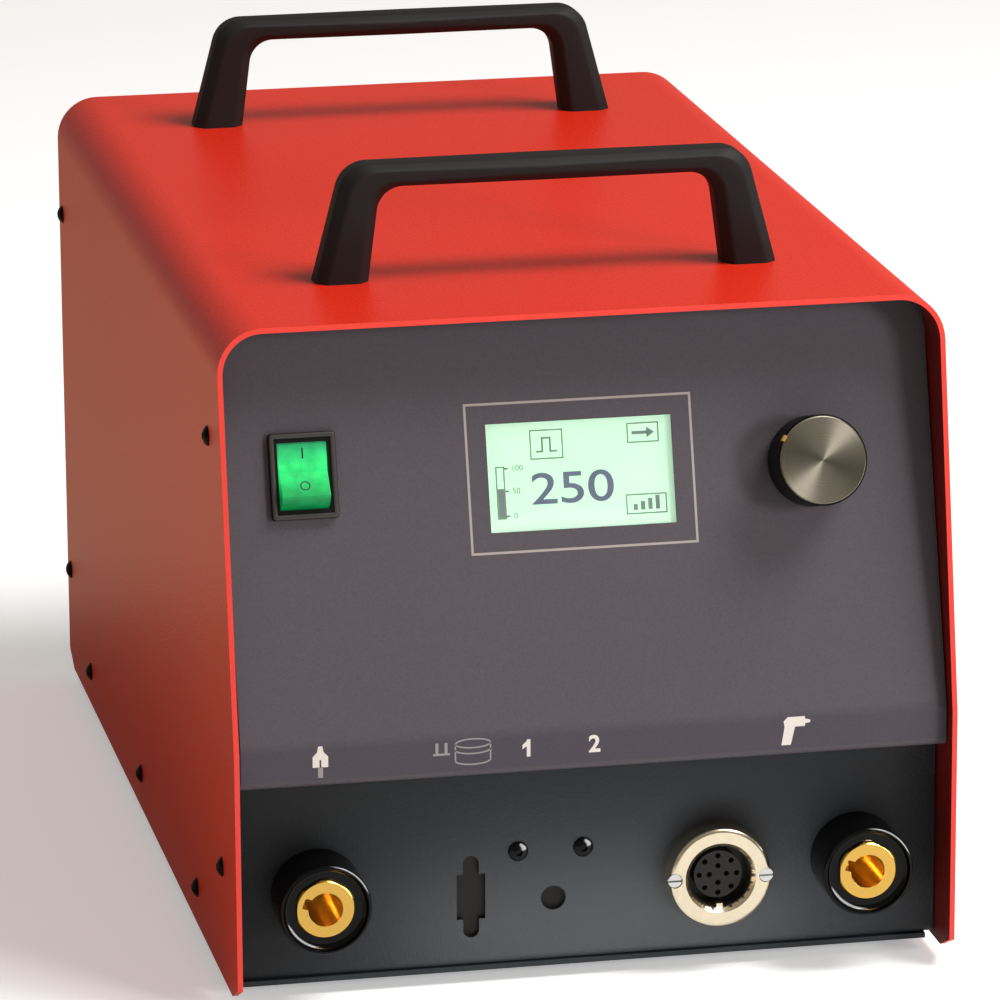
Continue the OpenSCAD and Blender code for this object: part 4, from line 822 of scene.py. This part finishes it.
class STUDWELDER_OT_prints(bpy.types.Operator):
    """Print the display's frame line and the plain signs on the icon strip"""

    bl_idname = "studwelder.prints"
    bl_label = "Prints"

    def execute(self, context):
        centre = on_console(middle("display_window"))
        place = CONSOLE @ Matrix.Translation((centre.x, centre.y, FOIL_T))
        bm = bmesh.new()
        stroke(bm, mm(oblong(-42.5, -27.5, 42.5, 27.5)), 0.9 * MM, INK, closed=True)
        rose = screen_ink("Rose-grey screen ink", linear("#9E948E"))
        new_piece("display_frame_line", bm, rose, "root", place)
        self.strip(screen_ink("Light grey screen ink", context.scene.studwelder_console.ink))
        return {"FINISHED"}

    def strip(self, ink):
        """Signs over the sockets and numbers over the two black screws, on one row."""
        row, clamp, drum, gun = 7 * MM, -103.5 * MM, -46.5 * MM, 75 * MM
        bm = bmesh.new()
        self.clamp(bm, clamp, row)
        self.gun(bm, gun, row)
        # Flag of the figure 1, whose letterform is a plain bar
        slab(bm, mm([(-26.2, 2.75), (-26.2, 0.75), (-27.9, -0.35), (-27.9, 1.25)], y=row), INK)
        new_piece("strip_signs", bm, ink, "root", STRIP_FACE)
        bm = bmesh.new()
        self.drum(bm, drum, row)
        # Cable of the clamp
        stroke(bm, mm([(0, -6.2), (0, -2.4)], clamp, row), 1.9 * MM, INK)
        faint = screen_ink("Mid-grey screen ink", linear("#8F8886"))
        new_piece("strip_drum", bm, faint, "root", STRIP_FACE)
        for name, x, digit in (("strip_number_1", -25.6, "1"), ("strip_number_2", -0.7, "2")):
            spot = STRIP_FACE @ Matrix.Translation((x * MM, row - 0.4 * MM, 0.02 * MM))
            printed_number(name, digit, 9 * MM, ink, spot, weight=0.25 * MM)

    def clamp(self, bm, x, row):
        """Earth clamp over the left socket: a tip that widens to two jaws."""
        half = ((0.8, 5.8), (1.2, 3.6), (2.9, 1.8), (2.9, -2.2), (0.35, -2.2), (0.35, 0.6))
        slab(bm, mm([*half, *((-a, b) for a, b in reversed(half))], x, row), INK)

    def drum(self, bm, x, row):
        """Drum, and two studs that stand on a plate, over the cut-outs."""
        wide, flat, tall, line = 6.6 * MM, 1.7 * MM, 6.4 * MM, 0.55 * MM
        lid = row + 3.2 * MM
        stroke(bm, oval(x, lid, wide, flat), line, INK, closed=True)
        for drop in (0.35, 1):
            stroke(bm, arc(x, lid - tall * drop, wide, flat, 180, 360, 18), line, INK)
        for side in (-1, 1):
            stroke(bm, [(x + side * wide, lid), (x + side * wide, lid - tall)], line, INK)
        stroke(bm, mm([(-15, -0.4), (-8.6, -0.4)], x, row), 0.8 * MM, INK)
        for reach in (13.5, 10.1):
            stroke(bm, mm([(-reach, 0), (-reach, 4)], x, row), 1.1 * MM, INK)

    def gun(self, bm, x, row):
        """Stud gun over the right-hand sockets: slanted grip, body with a sloped back, nozzle."""
        grip = ((-4.6, -5.6), (-1, -5.6), (0.6, 1.4), (-3.4, 1.4))
        body = ((-3.4, 1.4), (4.4, 1.4), (4.4, 5.2), (-2.2, 5.2), (-3.8, 3.6))
        nozzle = ((4.4, 2.4), (6.4, 2.8), (6.4, 3.8), (4.4, 4.2))
        for outline in (grip, body, nozzle):
            slab(bm, mm(outline, x, row), INK)


class STUDWELDER_OT_knob(bpy.types.Operator):
    """Fit the spun cap and the index line on the knob"""

    bl_idname = "studwelder.knob"
    bl_label = "Control Knob"

    def execute(self, context):
        black = moulded_plastic("Black knob moulding", linear("#060606"), 0.5, 0.8 * MM, gloss=0.15)
        dress(black, "control_knob")
        dress(metal("Turned steel shaft", "#B9B9BA", 0.28, 1 * MM), "encoder_shaft")
        dress(metal("Zinc-plated encoder case", "#B4B6B8", 0.3, 1.5 * MM), "encoder_body", "encoder_nut")
        dress(moulded_plastic("Grey acetal", linear("#5A5B5E"), 0.45, 1 * MM), "encoder_plunger")
        soften(0.4 * MM, "control_knob", segments=3)
        centre, half = on_console(middle("knob_cap")).z, 0.65 * MM
        self.cap(centre, half)
        self.index(centre + half)
        return {"FINISHED"}

    def cap(self, centre, half):
        """Flat disc with a chamfered rim, in place of the plain cap."""
        radius = half_width("knob_cap")
        chamfer, foot_in, foot_up = 0.35 * MM, 0.1 * MM, 0.15 * MM
        profile = [(0, -half), (radius - foot_in, -half), (radius, -half + foot_up), (radius, half - chamfer),
                   (radius - chamfer, half), (0, half)]
        bm = bmesh.new()
        revolve(bm, profile, 96)
        place = CONSOLE @ Matrix.Translation((0, 0, centre))
        cap = new_piece("spun_cap", bm, spun_aluminium(), "knob", place, sharp=30)
        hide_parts("knob_cap")

    def index(self, front):
        """Line over the edge of the knob, at the upper left as it stands."""
        rim = half_width("control_knob")
        bevel, sunk, proud, tip, long, wide = 0.8 * MM, 0.05 * MM, 0.08 * MM, 0.1 * MM, 3.2 * MM, 2.4 * MM
        line = [(rim - sunk, front - long), (rim + proud, front - long), (rim + proud, front - bevel),
                (rim - bevel, front + proud), (rim - bevel - tip, front), (rim - sunk, front - bevel)]
        bm = bmesh.new()
        slab(bm, line, (-wide / 2, wide / 2))
        turn = CONSOLE @ Matrix.Rotation(math.radians(148), 4, "Z")
        place = turn @ axes((0, 0, 0), (1, 0, 0), (0, 0, 1))
        ink = screen_ink("Ochre index ink", linear("#C99A4A"))
        new_piece("knob_index", bm, ink, "knob", place)


class STUDWELDER_OT_weld_sockets(bpy.types.Operator):
    """Finish both welding sockets"""

    bl_idname = "studwelder.weld_sockets"
    bl_label = "Welding Sockets"

    def execute(self, context):
        gloss = moulded_plastic("Glossy black polyamide", linear("#060607"), 0.12, 2.5 * MM, gloss=0.14)
        brass = metal("Turned brass", "#CFA550", 0.2, 0.8 * MM)
        for side in ("earth", "gun"):
            dress(gloss, side + "_socket_housing", side + "_socket_nut")
            dress(brass, side + "_socket_contact")
            soften(0.35 * MM, side + "_socket_contact")
        dress(metal("Zinc-plated nuts", "#B7B9BA", 0.3, 1.5 * MM), "stud_nuts")
        return {"FINISHED"}


class STUDWELDER_OT_control_socket(bpy.types.Operator):
    """Finish the round control socket and the blanked cut-outs"""

    bl_idname = "studwelder.control_socket"
    bl_label = "Control Socket"

    def execute(self, context):
        dress(metal("Satin nickel plate", "#EADDC2", 0.24, 2.5 * MM), "control_socket_shell")
        insert = moulded_plastic("Black contact insert", linear("#161617"), 0.45, 1 * MM)
        dress(insert, "control_socket_insert")
        dress(metal("Gilt contacts", "#D9B45A", 0.22, 0.6 * MM), "control_socket_contacts")
        dress(metal("Bright nickel screws", "#D4D4D2", 0.16, 0.8 * MM), "control_socket_screws")
        dress(metal("Dull zinc sheet", "#3A3937", 0.55, 3 * MM), "blanking_plate")
        oiled = moulded_plastic("Oiled black-oxide steel", linear("#08080A"), 0.18, 0.8 * MM, gloss=0.16)
        dress(oiled, "blanking_screws")
        soften(0.35 * MM, "control_socket_shell", "control_socket_screws")
        return {"FINISHED"}


class STUDWELDER_OT_fasteners(bpy.types.Operator):
    """Finish the screws and the feet"""

    bl_idname = "studwelder.fasteners"
    bl_label = "Fasteners and Feet"

    def execute(self, context):
        dress(metal("Blackened cover screws", "#18181A", 0.34, 0.8 * MM), "cover_screws", "fan_screws")
        dress(metal("Zinc-plated screws", "#B9BBBC", 0.28, 0.9 * MM), "foot_screws", "handle_screws",
              "inlet_screws")
        dress(moulded_plastic("Black nitrile rubber", linear("#1C1C1D"), 0.75, 0.6 * MM), "rubber_feet")
        return {"FINISHED"}


class STUDWELDER_OT_rear(bpy.types.Operator):
    """Finish the fan, its guard and the mains inlet"""

    bl_idname = "studwelder.rear"
    bl_label = "Fan and Inlet"

    def execute(self, context):
        black = moulded_plastic("Black fan polyester", linear("#19191A"), 0.45, 1 * MM)
        dress(black, "fan_frame", "fan_rotor", "mains_inlet", "fuse_drawer")
        dress(metal("Bright drawn wire", "#C8CACB", 0.2, 1 * MM), "fan_guard")
        dress(metal("Nickel-plated pins", "#CFCFCB", 0.2, 1 * MM), "inlet_pins")
        soften(0.4 * MM, "mains_inlet", "fuse_drawer")
        return {"FINISHED"}


class STUDWELDER_OT_inside(bpy.types.Operator):
    """Finish the energy store, the discharge path and the boards"""

    bl_idname = "studwelder.inside"
    bl_label = "Inside"

    def execute(self, context):
        sleeve = moulded_plastic("Shrunk PVC sleeve", linear("#22304A"), 0.3, 4 * MM)
        dress(sleeve, "capacitor_left", "capacitor_centre", "capacitor_right")
        dress(metal("Zinc-plated clips", "#B3B5B6", 0.32, 1.5 * MM), "capacitor_clips", "terminal_screws",
              "toroid_clamp", "board_nuts")
        dress(metal("Nickel-plated brass", "#C6B68C", 0.3, 1 * MM), "board_spacers")
        dress(metal("Rolled copper", "#C77E55", 0.3, 1.5 * MM, stretch=(1, 8, 1)), "negative_busbar",
              "positive_busbar", "gun_strap")
        dress(metal("Extruded aluminium", "#C3C5C8", 0.35, 1.5 * MM, stretch=(8, 1, 8)), "heatsink")
        dress(moulded_plastic("Black epoxy moulding", linear("#1E1F22"), 0.4, 1 * MM), "thyristor")
        dress(wound_tape(), "toroid")
        dress(circuit_board(), "control_board", "charging_board")
        return {"FINISHED"}


class STUDWELDER_OT_stage(bpy.types.Operator):
    """Lay the floor, hang the lights and set the camera"""

    bl_idname = "studwelder.stage"
    bl_label = "Studio"

    def execute(self, context):
        settings = context.scene.studwelder_studio
        context.scene.view_settings.view_transform = "Standard"
        self.floor()
        self.lights(context.scene, settings)
        self.camera(context.scene, settings)
        return {"FINISHED"}

    def floor(self):
        """White paper that only the camera sees, over a white table that lights the object."""
        reach = 6.0
        whole = oblong(-reach, -reach, reach, reach)
        paper = self.fibre("White studio paper", "#F8F8F8", "#FCFCFC", glow=0.35)
        floor = self.sheet("studio_floor", whole, 0, paper)
        floor.visible_diffuse = False
        floor.visible_glossy = False
        floor.visible_shadow = False
        # A brown card at the left keeps the white table out of the gloss of the left wall
        brown = self.fibre("Brown millboard", "#D8BD9B", "#E6CBA9")
        card = self.sheet("brown_card", oblong(-1.2, -0.4, -0.15, 2.2), -0.5 * MM, brown)
        white = self.fibre("White table laminate", "#F0F0F0", "#F4F4F4")
        table = self.sheet("studio_table", whole, -1 * MM, white)
        for thing in (card, table):
            thing.visible_camera = False

    def fibre(self, name, dark, light, glow=0.0):
        """Pressed paper board: matt, with a faint fleck every 3 mm, lit from behind where it glows."""
        material, tree, shader, where = new_finish(name, Roughness=0.9, Emission_Color=(1, 1, 1, 1),
                                                   Emission_Strength=glow)
        tint(tree, shader, noise(tree, where, 3 * MM, 2), (linear(dark), linear(light)))
        return material

    def sheet(self, name, outline, top, material):
        """A thin level sheet with a given outline, which isn't part of the object."""
        bm = bmesh.new()
        slab(bm, outline, (top - 0.2 * MM, top))
        thing = new_object(name, finish_mesh(name, bm))
        thing.data.materials.append(material)
        return thing

    def lights(self, scene, settings):
        """Warm white surroundings, a key light, a fill light and three lights that reach a few pieces."""
        world = bpy.data.worlds.new("White studio")
        scene.world = world
        world.use_nodes = True
        background = world.node_tree.nodes["Background"]
        background.inputs["Color"].default_value = rgba(linear("#FFF4E6"))
        background.inputs["Strength"].default_value = 0.25
        aim = settings.target
        self.softbox("key_softbox", settings.key, 1.2, (1.33, -0.72, 2.35), aim)
        fill = self.softbox("front_fill", settings.fill, 0.5, (1.4, -2.1, 0.75), aim)
        fill.visible_glossy = False
        # The broad panel shows in the gloss of the welding sockets and the black screws alone
        catch = self.softbox("catch_panel", settings.catch, 2.4, (1.7, -0.8, 1.0), aim)
        catch.visible_diffuse = False
        self.shine_on(catch, "earth_socket_housing", "earth_socket_contact", "gun_socket_housing",
                      "gun_socket_contact", "blanking_screws")
        # A small lamp in front sparkles in the bores of the brass contacts
        spark = self.softbox("bore_spark", settings.spark, 0.3, (0.7, -2.1, 0.55), aim)
        spark.visible_diffuse = False
        self.shine_on(spark, "earth_socket_contact", "gun_socket_contact")
        # Light thrown back by the table, low in front of the recess
        ahead, right, rise = 50 * MM, 12 * MM, 12 * MM
        spot = Vector((right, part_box("lower_panel")[0].y - ahead, rise))
        bounce = self.softbox("table_bounce", settings.bounce, 160 * MM, spot, spot + Vector((0, 1, 0)))
        bounce.data.shape = "RECTANGLE"
        bounce.data.size_y = 30 * MM
        bounce.data.color = linear("#FFF6EC")
        bounce.visible_glossy = False
        self.shine_on(bounce, "lower_panel", "blanking_plate")

    def shine_on(self, lamp, *names):
        """Keeps a lamp's light to some CAD nodes."""
        lit = bpy.data.collections.new(lamp.name + "_receivers")
        for name in names:
            lit.objects.link(NODES[name])
        lamp.light_linking.receiver_collection = lit

    def softbox(self, name, power, size, place, target):
        """A square area light that faces the target."""
        light = bpy.data.lights.new(name, "AREA")
        light.energy = power
        light.size = size
        lamp = new_object(name, light)
        lamp.location = place
        lamp.rotation_euler = (Vector(target) - lamp.location).to_track_quat("-Z", "Y").to_euler()
        return lamp

    def camera(self, scene, settings):
        """Looks at the target from the given angles, as the photograph does."""
        turn, rise, roll = settings.azimuth, settings.elevation, settings.roll
        back = Vector((math.sin(turn) * math.cos(rise), -math.cos(turn) * math.cos(rise), math.sin(rise)))
        right = Vector((math.cos(turn), math.sin(turn), 0))
        up = back.cross(right)
        tilted_right = right * math.cos(roll) + up * math.sin(roll)
        tilted_up = up * math.cos(roll) - right * math.sin(roll)
        eye = bpy.data.cameras.new("photo_camera")
        eye.lens = settings.lens
        eye.sensor_width = 36
        eye.sensor_fit = "HORIZONTAL"
        eye.clip_end = 50
        camera = new_object("photo_camera", eye)
        pose = Matrix((tilted_right, tilted_up, back)).transposed().to_4x4()
        pose.translation = Vector(settings.target) + back * settings.distance
        camera.matrix_world = pose
        scene.camera = camera


class STUDWELDER_PT_panel(bpy.types.Panel):
    """Lists the pieces and their settings"""

    bl_idname = "STUDWELDER_PT_panel"
    bl_label = "Stud Welder"
    bl_space_type = "VIEW_3D"
    bl_region_type = "UI"
    bl_category = "Stud Welder"

    def draw(self, context):
        layout = self.layout
        for group in SETTINGS:
            settings = getattr(context.scene, group)
            box = layout.box()
            for name in settings.__annotations__:
                box.prop(settings, name)
        for maker in MAKERS:
            layout.operator(maker.bl_idname)


SETTINGS = {
    "studwelder_cover": CoverSettings,
    "studwelder_handles": HandleSettings,
    "studwelder_console": ConsoleSettings,
    "studwelder_studio": StudioSettings,
}
MAKERS = (
    STUDWELDER_OT_case, STUDWELDER_OT_handles, STUDWELDER_OT_switch, STUDWELDER_OT_display,
    STUDWELDER_OT_prints, STUDWELDER_OT_knob, STUDWELDER_OT_weld_sockets, STUDWELDER_OT_control_socket,
    STUDWELDER_OT_fasteners, STUDWELDER_OT_rear, STUDWELDER_OT_inside, STUDWELDER_OT_stage,
)
CLASSES = (*SETTINGS.values(), *MAKERS, STUDWELDER_PT_panel)


def register():
    for part in CLASSES:
        bpy.utils.register_class(part)
    for name, group in SETTINGS.items():
        setattr(bpy.types.Scene, name, PointerProperty(type=group))


def unregister():
    for name in SETTINGS:
        delattr(bpy.types.Scene, name)
    for part in reversed(CLASSES):
        bpy.utils.unregister_class(part)


def main():
    register()
    for maker in MAKERS:
        family, action = maker.bl_idname.split(".")
        getattr(getattr(bpy.ops, family), action)()


if __name__ == "__main__":
    main()
